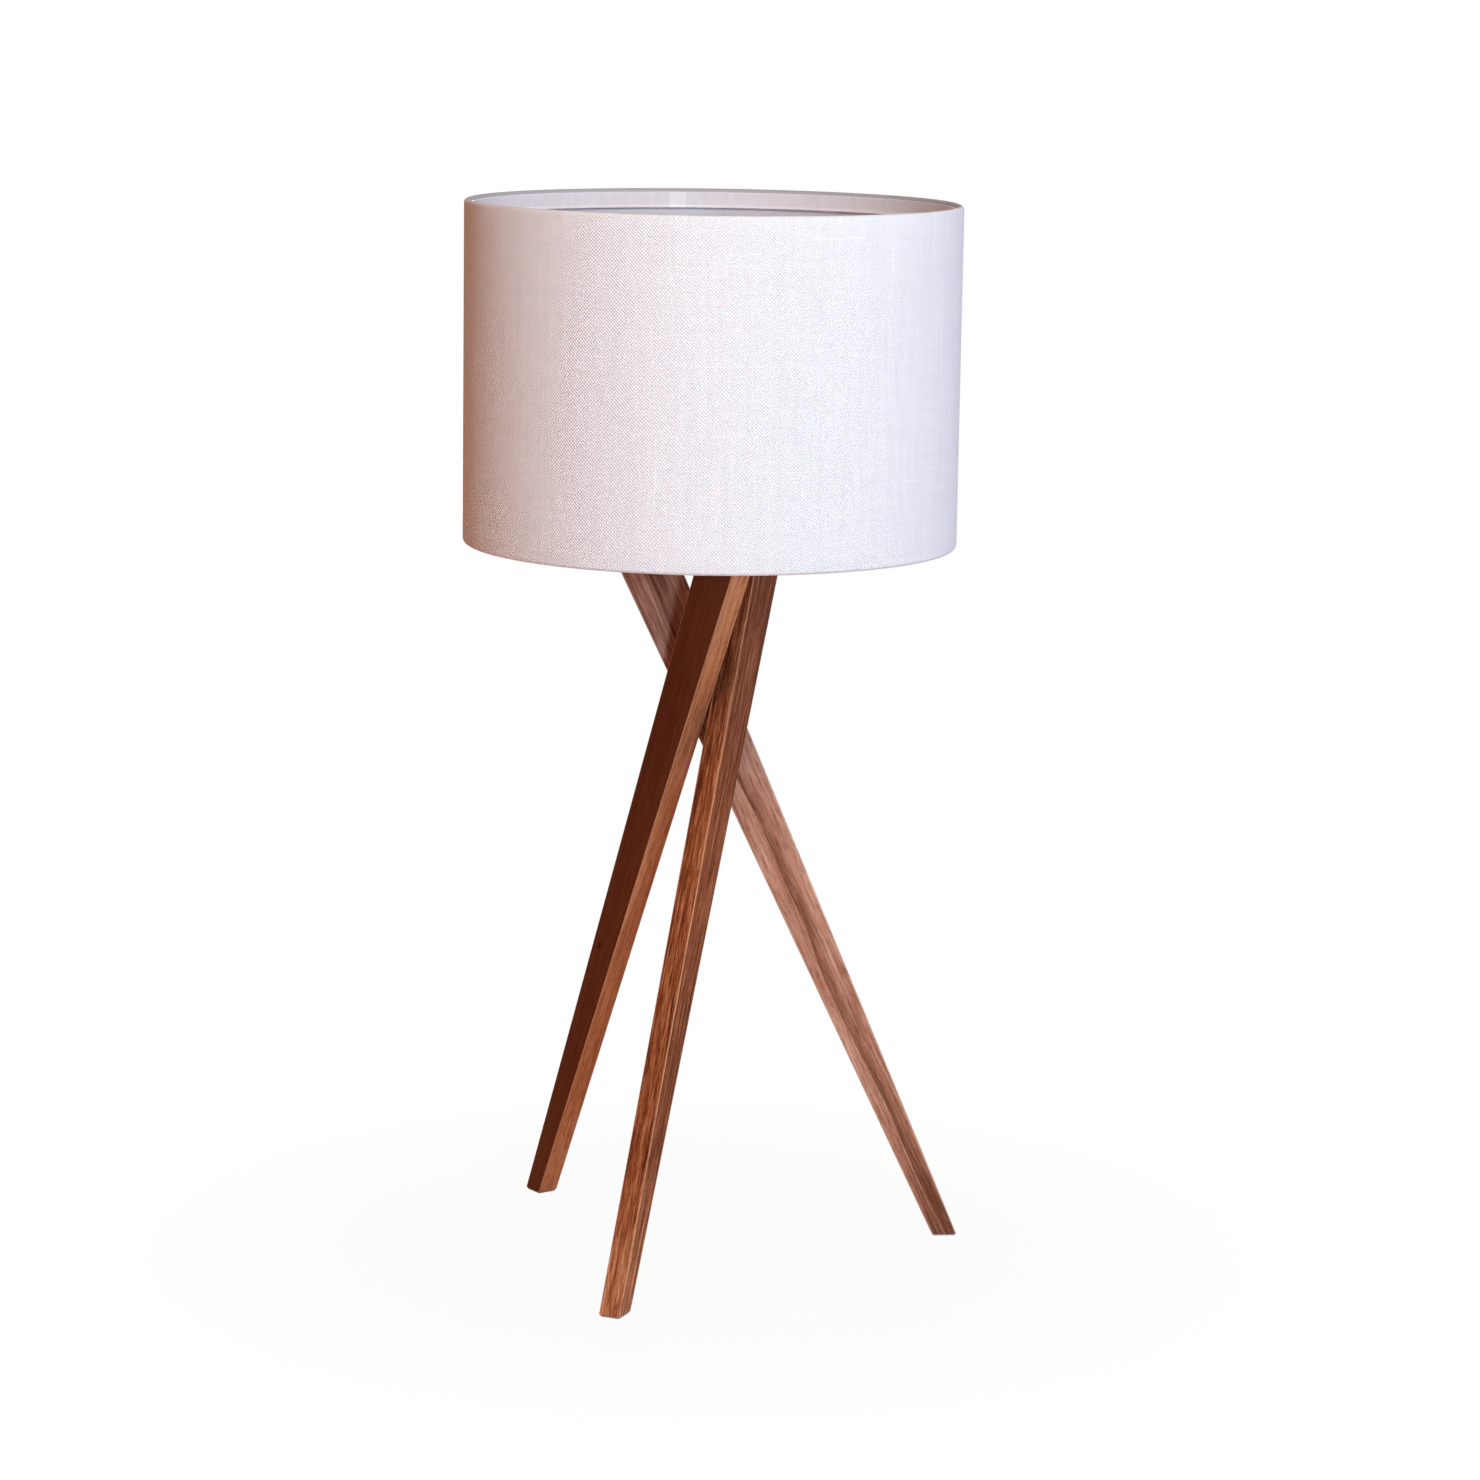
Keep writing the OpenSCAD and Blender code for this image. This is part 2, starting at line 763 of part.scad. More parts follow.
module bulb_cap() {
    turns = floor((bulb_cap_top - black_glass_top) / bulb_pitch);
    outer = thread_side(bulb_thread_d / 2, black_glass_top, turns);
    inner = thread_side(bulb_thread_d / 2 - bulb_cap_t, black_glass_top, turns);
    color("#c4c5c8")
        rotate_extrude()
            polygon(concat(
                outer,
                [[bulb_thread_d / 2, bulb_cap_top], [bulb_thread_d / 2 - bulb_cap_t, bulb_cap_top]],
                reversed(inner)
            ));
}

module bulb_black_glass() {
    seat_r = bulb_thread_d / 2 - thread_depth;
    color("#17161a")
        rotate_extrude()
            polygon([
                [0, bulb_bottom + bulb_contact_h],
                [bulb_contact_d / 2, bulb_bottom + bulb_contact_h],
                [seat_r, black_glass_top - bulb_black_h / 4],
                [seat_r, black_glass_top],
                [0, black_glass_top]
            ]);
}

module bulb_contact() {
    color("#c7a24c")
        translate([0, 0, bulb_bottom])
            cylinder(h = bulb_contact_h, d1 = bulb_contact_d - bulb_contact_h, d2 = bulb_contact_d);
}

// Half outline of the glass, set in by a wall thickness
module globe_outline(inset) {
    r = bulb_d / 2 - inset;
    neck = bulb_neck_d / 2 - inset;
    side = [r * cos(cone_slope), globe_z - r * sin(cone_slope)];
    neck_bend = side[1] - (side[0] - neck) / tan(cone_slope);
    neck_end = bulb_cap_top - bulb_neck_l - (inset > 0 ? cut : 0);
    intersection() {
        translate([0, bulb_bottom]) square([bulb_d, bulb_l + cut]);
        union() {
            translate([0, globe_z]) circle(r = r);
            polygon([
                [0, neck_end],
                [neck, neck_end],
                [neck, neck_bend],
                side,
                [0, globe_z]
            ]);
        }
    }
}

module bulb_globe() {
    color("#f6f3ea")
        rotate_extrude()
            difference() {
                globe_outline(0);
                globe_outline(bulb_glass_t);
            }
}

module bulb_stem() {
    stem_z = bulb_cap_top - bulb_neck_l;
    flare_r = bulb_neck_d / 2 - bulb_glass_t - stem_gap;
    color("#dfe6e6")
        rotate_extrude()
            polygon([
                [0, stem_z],
                [flare_r, stem_z],
                [stem_d / 2, stem_z + stem_l / 2],
                [stem_d / 2, stem_z + stem_l],
                [0, stem_z + stem_l]
            ]);
}

module bulb_sticks() {
    stem_top = bulb_cap_top - bulb_neck_l + stem_l;
    foot_z = stem_top + stick_gap + stick_d / 2 * sin(stick_lean);
    color("#e8c860")
        for (a = [0:90:270])
            rotate([0, 0, a])
                translate([stem_d / 2 - stick_d / 2, 0, foot_z])
                    rotate([0, stick_lean, 0])
                        cylinder(h = stick_l, d = stick_d);
}

front_leg();
right_leg();
left_leg();
foot_pads();
waist_block();
waist_dowels();
top_plate();
plate_screws();
nipple();
nipple_washer();
nipple_nut();
cable_bush();
holder_cap();
holder_body();
seat_ring();
holder_insulator();
terminals();
terminal_screws();
screw_shell();
centre_contact();
switch_block();
switch_shaft();
switch_knob();
shade_linen();
shade_lining();
shade_top_wire();
shade_bottom_wire();
shade_top_band();
shade_bottom_band();
spider_hub();
spider_arms();
retaining_ring();
bulb_cap();
bulb_black_glass();
bulb_contact();
bulb_globe();
bulb_stem();
bulb_sticks();
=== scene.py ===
import math
from functools import partial

import bmesh
import bpy
import numpy as np
from mathutils import Matrix, Vector


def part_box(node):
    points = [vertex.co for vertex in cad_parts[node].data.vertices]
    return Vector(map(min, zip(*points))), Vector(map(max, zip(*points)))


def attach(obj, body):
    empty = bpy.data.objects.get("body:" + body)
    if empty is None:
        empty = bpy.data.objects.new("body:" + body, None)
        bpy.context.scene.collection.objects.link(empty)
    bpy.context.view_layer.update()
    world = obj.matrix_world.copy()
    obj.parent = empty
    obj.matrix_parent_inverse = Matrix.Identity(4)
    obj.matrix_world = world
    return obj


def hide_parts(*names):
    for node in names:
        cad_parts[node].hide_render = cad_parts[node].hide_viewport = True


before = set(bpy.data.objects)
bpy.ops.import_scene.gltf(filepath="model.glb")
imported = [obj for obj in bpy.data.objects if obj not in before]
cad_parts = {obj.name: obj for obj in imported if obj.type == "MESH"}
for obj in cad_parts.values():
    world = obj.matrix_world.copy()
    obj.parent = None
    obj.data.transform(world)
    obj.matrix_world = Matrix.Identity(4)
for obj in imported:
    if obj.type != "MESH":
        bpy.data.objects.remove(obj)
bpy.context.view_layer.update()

# ---- Legs ----
# Three tapered boards of oiled black walnut stand on edge in upright planes and lean past one another.
# They are sawn and planed from one plank, so each keeps its own grain, and their long edges are sanded
# to a small round arris, painted as a pale line that is partly wear and partly the highlight it catches.
MM = 0.001
TURN = 2 * math.pi
ARRIS = 0.9 * MM
FOOT_EDGE = 0.6 * MM
LEVEL = 0.1 * MM
# Millimetres, as the walnut's pattern is measured
DARK_END = 130
SKIN_AND_SHADE_DEEP = 1.2
KNOT_CORE, KNOT_RIM = 0.8, 2.2
WEAR_AND_HIGHLIGHT_CORE, WEAR_AND_HIGHLIGHT_RIM = 0.3, 1.1
SMOOTH = {"interpolation_type": "SMOOTHSTEP"}


def linear(colour):
    """The sRGB hex colour as linear red, green and blue with an alpha of 1."""
    value = np.array([int(colour[i:i + 2], 16) for i in (1, 3, 5)]) / 255
    value = np.where(value <= 0.04045, value / 12.92, ((value + 0.055) / 1.055) ** 2.4)
    return (*value.tolist(), 1.0)


def feed(node, inputs):
    """Sets sockets of a node, given by name or in their order, to values or colours, or links them."""
    for socket, value in inputs.items() if isinstance(inputs, dict) else enumerate(inputs):
        if isinstance(value, bpy.types.NodeSocket):
            node.id_data.links.new(value, node.inputs[socket])
        else:
            node.inputs[socket].default_value = linear(value) if isinstance(value, str) else value


def add(tree, kind, inputs=(), out=0, ramp=(), **settings):
    """Adds a shader node with its settings, its inputs and a ramp's stops, and returns its output
    numbered or named out, or all its outputs if out is None. Where a node has an operation, this is
    written after its kind."""
    kind, *operation = kind.split()
    node = tree.nodes.new("ShaderNode" + kind)
    if operation:
        node.operation = operation[0]
    for name, value in settings.items():
        setattr(node, name, value)
    feed(node, inputs)
    for number, (place, colour) in enumerate(ramp):
        stops = node.color_ramp.elements
        stop = stops[number] if number < 2 else stops.new(place)
        stop.position = place
        stop.color = linear(colour)
    return node.outputs if out is None else node.outputs[out]


def finish(name):
    """A new material, its Principled shader, and add for its own node tree."""
    made = bpy.data.materials.new(name)
    made.use_nodes = True
    return made, made.node_tree.nodes["Principled BSDF"], partial(add, made.node_tree)


def placed(name, data):
    """A new object in the scene."""
    made = bpy.data.objects.new(name, data)
    bpy.context.scene.collection.objects.link(made)
    return made


def piece(name, grids, finish_of, body, replaced, crease=40, maps=None):
    """Makes one object of grids of points [row, column, xyz]: four neighbouring points are a face.
    Points that coincide are merged, which closes a surface that comes round on itself and the poles
    where a row shrinks to one point. maps are the grids' UV coordinates. Edges that turn by more than
    crease degrees stay sharp. replaced is the CAD node that it stands for, if any."""
    faces, start = [], 0
    for grid in grids:
        number = np.arange(grid.shape[0] * grid.shape[1]).reshape(grid.shape[:2]) + start
        ring = [number[:-1, :-1], number[:-1, 1:], number[1:, 1:], number[1:, :-1]]
        faces.append(np.stack(ring, -1).reshape(-1, 4))
        start += number.size
    faces = np.concatenate(faces)
    mesh = bpy.data.meshes.new(name)
    mesh.from_pydata(np.concatenate([grid.reshape(-1, 3) for grid in grids]), [], faces)
    if maps:
        places = np.concatenate([grid.reshape(-1, 2) for grid in maps])[faces.ravel()]
        mesh.uv_layers.new(name="thread").uv.foreach_set("vector", places.ravel())
    shell = bmesh.new()
    shell.from_mesh(mesh)
    bmesh.ops.remove_doubles(shell, verts=shell.verts, dist=0.001 * MM)
    bmesh.ops.recalc_face_normals(shell, faces=shell.faces)
    shell.to_mesh(mesh)
    shell.free()
    mesh.polygons.foreach_set("use_smooth", np.ones(len(mesh.polygons), bool))
    mesh.set_sharp_from_angle(angle=math.radians(crease))
    mesh.materials.append(finish_of)
    made = placed(name, mesh)
    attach(made, body)
    if replaced:
        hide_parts(replaced)
    return made


def points_of(node):
    """A CAD node's vertices as an array."""
    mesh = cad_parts[node].data
    points = np.empty(3 * len(mesh.vertices), np.float32)
    mesh.vertices.foreach_get("co", points)
    return points.reshape(-1, 3).astype(float)


def level_ends(points):
    """The level rectangles at the bottom and the top of a leaning board, each as its middle, its half
    width along the board and its half thickness, and the level direction that the board leans in."""
    low = points[points[:, 2] < points[:, 2].min() + LEVEL]
    high = points[points[:, 2] > points[:, 2].max() - LEVEL]
    lean = (high.mean(0) - low.mean(0))[:2]
    lean = lean / np.linalg.norm(lean)
    axes = np.array([lean, [-lean[1], lean[0]]])
    ends = []
    for end in (low, high):
        flat = end[:, :2] @ axes.T
        middle = (flat.min(0) + flat.max(0)) / 2 @ axes
        half = (flat.max(0) - flat.min(0)) / 2
        ends.append((np.array([*middle, end[:, 2].mean()]), half[0], half[1]))
    return ends, lean


def bar(ends, lean, arris, edge, rows=24):
    """Grid of a bar between two level rectangles. A row is the rectangle of half sides a and b with
    its corners turned into quarter circles, x = +-(a - r) + r cos t and y = +-(b - r) + r sin t. Rows
    climb from one rectangle to the other; near an end they draw in by e (1 - cos t) as they climb
    e (1 - sin t), and the outermost rows shrink to the middle of the end."""
    corner = np.append(np.repeat(np.arange(4), 6), 0)
    turn = np.append(np.tile(np.linspace(0, TURN / 4, 6), 4), 0) + corner * TURN / 4
    across = np.where((corner == 0) | (corner == 3), 1, -1)
    deep = np.where(corner < 2, 1, -1)
    (low, low_a, low_b), (high, high_a, high_b) = ends
    climb = high[2] - low[2]
    tip = np.linspace(TURN / 4, 0, 5)
    rise = edge * (1 - np.sin(tip))
    inset = edge * (1 - np.cos(tip))
    plain = np.linspace(edge, climb - edge, rows)[1:-1]
    lift = np.concatenate([[0], rise, plain, climb - rise[::-1], [climb]])
    draw = np.concatenate([[edge], inset, np.zeros(rows - 2), inset[::-1], [edge]])[:, None]
    share = (lift / climb)[:, None]
    radius = np.maximum(arris - draw, 0)
    x = across * (low_a + (high_a - low_a) * share - draw - radius) + radius * np.cos(turn)
    y = deep * (low_b + (high_b - low_b) * share - draw - radius) + radius * np.sin(turn)
    x[[0, -1]] = 0
    y[[0, -1]] = 0
    middle = low + (high - low) * share
    u, v = np.array([*lean, 0]), np.array([-lean[1], lean[0], 0])
    return middle[:, None] + x[..., None] * u + y[..., None] * v


def walnut(name, ends, lean, shift, sawn, tones, lines=0.4, layers=6.0, fibre=1.4, clouds=0.9,
           skin_and_shade=("#7A4A30", 0.0), darker=(0.0, 0.0), knot=None):
    """Oiled black walnut, planed and sanded: nearly matt, with fine dark streaks and open pores along the
    board. shift moves the pattern along the board, sawn is the angle at which its growth layers cross
    it, layers is their spacing in millimetres, and tones are its colours from late wood to early wood.
    lines, fibre and clouds are how much the growth lines, the streaks and the broad patches show,
    skin_and_shade is the colour of the layer under its outer face and how much of it shows, partly the
    wood's own darker layer and partly painted shade on that face, darker is how much darker its foot and
    its top end are, a darker top end being painted shade from the lampshade above, and knot is a pin
    knot's place across and along that face in millimetres."""
    made, shader, put = finish(name)
    (foot, foot_a, foot_b), (top, top_a, top_b) = ends
    tilt = math.atan2(np.linalg.norm((top - foot)[:2]), top[2] - foot[2])
    length = np.linalg.norm(top - foot) / MM
    place = put("Mapping", {"Vector": put("TexCoord", out="Object"), "Location": foot,
                            "Rotation": (0, tilt, math.atan2(lean[1], lean[0]))}, vector_type="TEXTURE")
    # Millimetres across, through and along the board, the last one moved on by the board's own shift
    board = put("VectorMath SCALE", {0: place, "Scale": 1 / MM})
    moved = put("VectorMath ADD", (board, (0, 0, shift)))
    across, through, along = put("SeparateXYZ", (board,), out=None)

    def drawn_out(per_mm, detail, roughness=0.5):
        """Noise that repeats about once in 1 / per_mm across, through and along."""
        grain = put("VectorMath MULTIPLY", (moved, per_mm))
        return put("TexNoise", {"Vector": grain, "Scale": 1, "Detail": detail, "Roughness": roughness})

    # Growth layers, bent by a slow wander of some 5 mm, each ending in a dark line
    wander = drawn_out((1 / 30, 1 / 30, 1 / 260), 2)
    layer = put("VectorMath DOT_PRODUCT", (board, (math.cos(sawn), math.sin(sawn), 0)), out="Value")
    bent = put("Math MULTIPLY_ADD", (wander, 26.0, layer))
    season = put("Math FRACT", (put("Math MULTIPLY", (bent, 1 / layers)),))
    late = put("MapRange", {"Value": season, "From Min": 0.4, "From Max": 0.96}, **SMOOTH)

    # Fibre streaks 1.5 mm and less wide and 30 mm long, over clouds 9 mm wide and 140 mm long
    streak = drawn_out((0.7, 0.7, 1 / 30), 5, 0.75)
    cloud = drawn_out((1 / 9, 1 / 9, 1 / 140), 2)
    grain = put("Math MULTIPLY_ADD", (streak, fibre, -fibre / 2))
    patch = put("Math MULTIPLY_ADD", (cloud, clouds, 0.45 - clouds / 2))
    cloudy = put("Math ADD", (patch, grain))
    lined = put("Math MULTIPLY", (late, cloud))
    tone = put("Math MULTIPLY_ADD", (lined, -lines, cloudy))

    # The two ends may be darker or paler than the middle
    # A darker top end is painted shade: the shadow that the lampshade casts over the tops of the legs
    for start, stop, dark in ((DARK_END, 0, darker[0]), (length - DARK_END, length, darker[1])):
        ended = put("MapRange", {"Value": along, "From Min": start, "From Max": stop, "To Max": -dark},
                    **SMOOTH)
        tone = put("Math ADD", (tone, ended))
    colour = put("ValToRGB", {"Fac": tone}, ramp=list(zip((0.0, 0.33, 0.62, 1.0), tones)))

    # The outer face's darker layer, partly the wood's own and partly painted shade, and the pin knot in it
    outer_face = -foot_b / MM
    skin_and_shade_colour, skin_and_shade_most = skin_and_shade
    skin_and_shade_share = put("MapRange", {"Value": through, "From Min": outer_face,
                                  "From Max": outer_face + SKIN_AND_SHADE_DEEP, "To Min": skin_and_shade_most, "To Max": 0.0},
                     **SMOOTH)
    colour = put("MixRGB", (skin_and_shade_share, colour, skin_and_shade_colour))
    if knot:
        off_knot = put("VectorMath SUBTRACT", (board, (knot[0], outer_face, knot[1])))
        drawn = put("VectorMath MULTIPLY", (off_knot, (1, 1, 0.6)))
        knot_far = put("VectorMath LENGTH", (drawn,), out="Value")
        ringed = put("MapRange", {"Value": knot_far, "From Min": KNOT_CORE, "From Max": KNOT_RIM,
                                  "To Min": 0.8, "To Max": 0.0}, **SMOOTH)
        colour = put("MixRGB", (ringed, colour, "#1E0A04"))

    # The long edges are painted paler over the last millimetre: partly wear, partly a painted arris highlight
    level_cut = math.cos(tilt) / MM
    half = put("MapRange", {"Value": along, "From Max": length, "To Min": foot_a * level_cut,
                            "To Max": top_a * level_cut})
    reach = [put("Math SUBTRACT", (put("Math ABSOLUTE", (axis,)), edge))
             for axis, edge in ((across, half), (through, foot_b / MM))]
    near_edge = put("Math MINIMUM", reach)
    wear_and_highlight = put("MapRange", {"Value": near_edge, "From Min": -WEAR_AND_HIGHLIGHT_RIM, "From Max": -WEAR_AND_HIGHLIGHT_CORE,
                            "To Max": 0.75}, **SMOOTH)
    colour = put("MixRGB", (wear_and_highlight, colour, tones[3]))

    # Open pores: dark dashes 0.6 mm wide and 7 mm long, drawn a little coarse to show
    pore = put("MapRange", {"Value": drawn_out((1.7, 1.7, 1 / 7), 2), "From Min": 0.56, "From Max": 0.68})
    stain = put("Math MULTIPLY", (pore, 0.5))
    fibre_rise = put("Math MULTIPLY", (streak, 0.05))
    surface = put("Math MULTIPLY_ADD", (pore, -0.07, fibre_rise))
    feed(shader, {
        "Base Color": put("MixRGB", (stain, colour, tones[0])),
        "Roughness": put("MapRange", {"Value": streak, "To Min": 0.45, "To Max": 0.65}),
        "Specular IOR Level": 0.012,
        "Normal": put("Bump", {"Height": surface, "Distance": MM, "Strength": 0.8})})
    return made


# Tones from late wood to early wood. The right board shows its pale side, the left board the chocolate
# heart, and the front board lies between them. The outer-face colours of the left and front boards are
# partly painted shade; the darker tops of the right and front boards are painted shade from the lampshade.
BOARDS = {
    "front_leg": dict(shift=0, sawn=0.45, lines=0.3, fibre=2.4, clouds=0.5, skin_and_shade=("#7A4E38", 0.2),
                      darker=(-0.28, 0.12), tones=("#38170A", "#793B1F", "#A2603B", "#D2946C")),
    "right_leg": dict(shift=900, sawn=0.5, lines=0.6, layers=19.0, fibre=1.3, clouds=0.7,
                      darker=(0.25, 0.14), tones=("#6A3F2C", "#A67158", "#C9987E", "#DEB79E")),
    "left_leg": dict(shift=2100, sawn=0.9, lines=0.15, fibre=1.2, clouds=0.3, skin_and_shade=("#461300", 0.85),
                     darker=(-0.2, -0.2), knot=(-5, 225), tones=("#64301A", "#A9623D", "#CA865A", "#DAA078"))}
feet = {}
for node, look in BOARDS.items():
    ends, lean = level_ends(points_of(node))
    feet[node] = ends[0][0], lean
    board_finish = walnut("Oiled walnut, " + node.replace("_", " "), ends, lean, **look)
    piece(node + "_board", [bar(ends, lean, ARRIS, FOOT_EDGE)], board_finish, "stand", node)

# ---- Foot pads ----
# A pad of pressed wool felt is glued under each foot, a little inside its edges, so that the end grain
# doesn't scratch the table.
PAD_CORNER = 1.0 * MM
PAD_EDGE = 0.25 * MM
PAD_NEAR = 20 * MM


def mottled(name, size, detail, tones, roughness, relief, strength=1.0, at=(0.3, 0.7), veil=0.0,
            pattern=None, sockets=None):
    """A finish with one cloudy pattern of a given size. It colours the piece from the first tone to the
    second between the two values in at, or lays the second over the first as a thin veil. It roughens it
    from the first roughness to the second where there are two, and raises it by the relief. pattern and
    sockets hold more inputs of the noise and of the shader."""
    made, shader, put = finish(name)
    here = put("TexCoord", out="Object")
    cloud = put("TexNoise", {"Vector": here, "Scale": 1 / size, "Detail": detail, **(pattern or {})})
    if veil:
        share = put("Math MULTIPLY", (cloud, veil))
        colour = put("MixRGB", (share, *tones), blend_type="SOFT_LIGHT")
    else:
        colour = put("ValToRGB", {"Fac": cloud}, ramp=list(zip(at, tones)))
    if isinstance(roughness, tuple):
        roughness = put("MapRange", {"Value": cloud, "To Min": roughness[0], "To Max": roughness[1]})
    bump = put("Bump", {"Height": cloud, "Distance": relief, "Strength": strength})
    feed(shader, {"Base Color": colour, "Roughness": roughness, "Normal": bump, **(sockets or {})})
    return made


# Matt and fuzzy, flecked with lighter and darker fibres
felt = mottled("Pressed wool felt", 0.5 * MM, 4, ("#7F776E", "#B9B2AB"), 1.0, 0.3 * MM, 0.7,
               pattern={"Distortion": 1.2}, sockets={"Sheen Weight": 0.4, "Sheen Roughness": 0.6})
pad_points = points_of("foot_pads")
pads = []
for foot, lean in feet.values():
    near = pad_points[np.linalg.norm(pad_points[:, :2] - foot[:2], axis=1) < PAD_NEAR]
    flat = (near[:, :2] - foot[:2]) @ np.array([lean, [-lean[1], lean[0]]]).T
    half = (flat.max(0) - flat.min(0)) / 2
    sides = [(np.array([*foot[:2], z]), half[0], half[1]) for z in (near[:, 2].min(), near[:, 2].max())]
    pads.append(bar(sides, lean, PAD_CORNER, PAD_EDGE, rows=4))
piece("felt_foot_pads", pads, felt, "stand", "foot_pads")

# ---- Waist block and dowels ----
# Where the boards meet, each is glued flat to one side of a three-sided walnut block and pinned to it
# with a beech dowel. The cable passes down through the hole in the block's middle.
BLOCK_FLAT = 11.5 * MM
BLOCK_CORNER = 19 * MM
CABLE_HOLE = 4 * MM
BLOCK_EDGE = 0.5 * MM


def turned(radius, height, columns=96):
    """Grid of a surface round the z axis, x = r cos a, y = r sin a and z = h, with a from 0 to a full
    turn along a row. Radius and height hold one number a row, or one a point."""
    angle = np.linspace(0, TURN, columns + 1)
    radius, height = (v[:, None] if np.ndim(v) == 1 else v for v in (np.asarray(radius), np.asarray(height)))
    radius, height, angle = np.broadcast_arrays(radius, height, angle)
    return np.stack([radius * np.cos(angle), radius * np.sin(angle), height], -1)


def eased(outline, ease, closed=True, steps=5):
    """An outline of (radius, height) points with its corners eased: each is replaced by the curve
    (1-t)^2 A + 2t(1-t) P + t^2 B between the points A and B at the distance ease before and after it,
    or at 0.45 of a side where that is shorter."""
    corner = np.array(outline, float)
    before, after = np.roll(corner, 1, 0) - corner, np.roll(corner, -1, 0) - corner
    long = [np.linalg.norm(side, axis=1, keepdims=True) for side in (before, after)]
    start = corner + before * np.minimum(ease / long[0], 0.45)
    stop = corner + after * np.minimum(ease / long[1], 0.45)
    t = np.linspace(0, 1, steps)[:, None, None]
    curve = (1 - t) ** 2 * start + 2 * t * (1 - t) * corner + t ** 2 * stop
    if closed:
        line = curve.transpose(1, 0, 2).reshape(-1, 2)
        return np.concatenate([line, line[:1]])
    inner = curve[:, 1:-1].transpose(1, 0, 2).reshape(-1, 2)
    return np.concatenate([corner[:1], inner, corner[-1:]])


def ring_rows(bore, outer, low, high, edge):
    """Outline of a ring from its bore to its outer radius between two heights, with eased edges."""
    return eased([(bore, low), (outer, low), (outer, high), (bore, high)], edge)


def keep_nodes(finish_of, *nodes):
    """Gives CAD nodes that stay in view another finish."""
    for node in nodes:
        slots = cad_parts[node].data.materials
        slots.clear()
        slots.append(finish_of)


# A row's radius runs from the hole to the block's outline: its flat sides, cut off round at the corners
block_low, block_high = (corner.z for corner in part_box("waist_block"))
block_ends = [(np.array([0, 0, z]), BLOCK_FLAT, BLOCK_FLAT) for z in (block_low, block_high)]
front_lean = feet["front_leg"][1]
block_side = math.atan2(-front_lean[0], front_lean[1])
block_rows = ring_rows(CABLE_HOLE, BLOCK_CORNER, block_low, block_high, BLOCK_EDGE)
block_angle = np.linspace(0, TURN, 181)
from_side = (block_angle - block_side + TURN / 6) % (TURN / 3) - TURN / 6
outline = np.minimum(BLOCK_FLAT / np.cos(from_side), BLOCK_CORNER)
share = (block_rows[:, :1] - CABLE_HOLE) / (BLOCK_CORNER - CABLE_HOLE)
block_radius = CABLE_HOLE + share * (outline - CABLE_HOLE)
block_finish = walnut("Walnut of the waist block", block_ends, front_lean, shift=3300, sawn=0.5,
                      tones=("#341C12", "#6B3D27", "#8E5A3B", "#A8734F"))
piece("walnut_waist_block", [turned(block_radius, block_rows[:, 1], 180)], block_finish, "stand",
      "waist_block", crease=30)

# Pale and plain, with short brown rays along the turned rod
beech = mottled("Bare beech", 1.2 * MM, 3, ("#A87C4E", "#D1AC7C"), 0.65, 0.1 * MM, at=(0.32, 0.6),
                pattern={"Distortion": 0.6})
keep_nodes(beech, "waist_dowels")

# ---- Top plate and screws ----
# A round steel plate, laser cut and powder coated black, lies on the tops of the legs. Two countersunk
# cross-head screws with a zinc coat hold it to each leg.
PLATE_EDGE = 0.5 * MM
NIPPLE_HOLE = 5.05 * MM


def ring_of(node, bore, edge, columns=96):
    """Grid of a plain ring with the outer radius and the heights of a CAD node."""
    low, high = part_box(node)
    return turned(*ring_rows(bore, high.x, low.z, high.z, edge).T, columns)


def powder_coat(name, colour):
    """Powder coat on steel: an even satin film with the faint orange peel that it sets with."""
    made, shader, put = finish(name)
    here = put("TexCoord", out="Object")
    peel = put("TexNoise", {"Vector": here, "Scale": 1 / (0.8 * MM), "Detail": 2})
    wide = put("TexNoise", {"Vector": here, "Scale": 1 / (20 * MM), "Detail": 3})
    share = put("Math MULTIPLY", (wide, 0.25))
    feed(shader, {
        "Base Color": put("MixRGB", (share, colour, "#808080"), blend_type="OVERLAY"),
        "Roughness": put("MapRange", {"Value": wide, "To Min": 0.34, "To Max": 0.5}),
        "Normal": put("Bump", {"Height": peel, "Distance": 0.06 * MM, "Strength": 0.5})})
    return made


piece("steel_top_plate", [ring_of("top_plate", NIPPLE_HOLE, PLATE_EDGE, 240)],
      powder_coat("Black powder coat", "#1B1B1D"), "stand", "top_plate")

# Bright grey metal, hazed and clouded by its passivation
zinc = mottled("Zinc plated steel", 3 * MM, 5, ("#A9ABAE", "#CFD0CE"), (0.22, 0.48), 0.02 * MM,
               sockets={"Metallic": 1.0})
keep_nodes(zinc, "plate_screws", "terminal_screws", "switch_shaft")

# ---- Nipple, washer, nut and cable bush ----
# A hollow threaded nipple of zinc plated steel clamps the lamp holder to the plate, with a washer and a
# hexagon nut below. A moulded bush in its lower end keeps the cable off the metal.
NIPPLE_PITCH = 1.0 * MM
NIPPLE_THREAD = 0.45 * MM
NIPPLE_BORE = 3.75 * MM
WASHER_EDGE = 0.25 * MM
NUT_CHAMFER = 0.9 * MM
BUSH_BORE = 3.1 * MM
BUSH_SPIGOT = 3.7 * MM
BUSH_EDGE = 0.8 * MM


def thread(radius, low, high, pitch, depth, columns=96):
    """Radii and heights of a helical thread with a round form between two heights: at the angle a and
    the height z the radius is R - d f (1 + cos(2 pi (z / p) - a)) / 2, where f fades the groove out over
    the last half turn at either end."""
    height = np.arange(low, high + pitch / 20, pitch / 10)
    height[-1] = high
    angle = np.linspace(0, TURN, columns + 1)
    fade = np.clip(np.minimum(height - low, high - height) / (pitch / 2), 0, 1)[:, None]
    groove = (1 + np.cos(TURN * height[:, None] / pitch - angle)) / 2
    return radius - depth * fade * groove, np.broadcast_to(height[:, None], groove.shape)


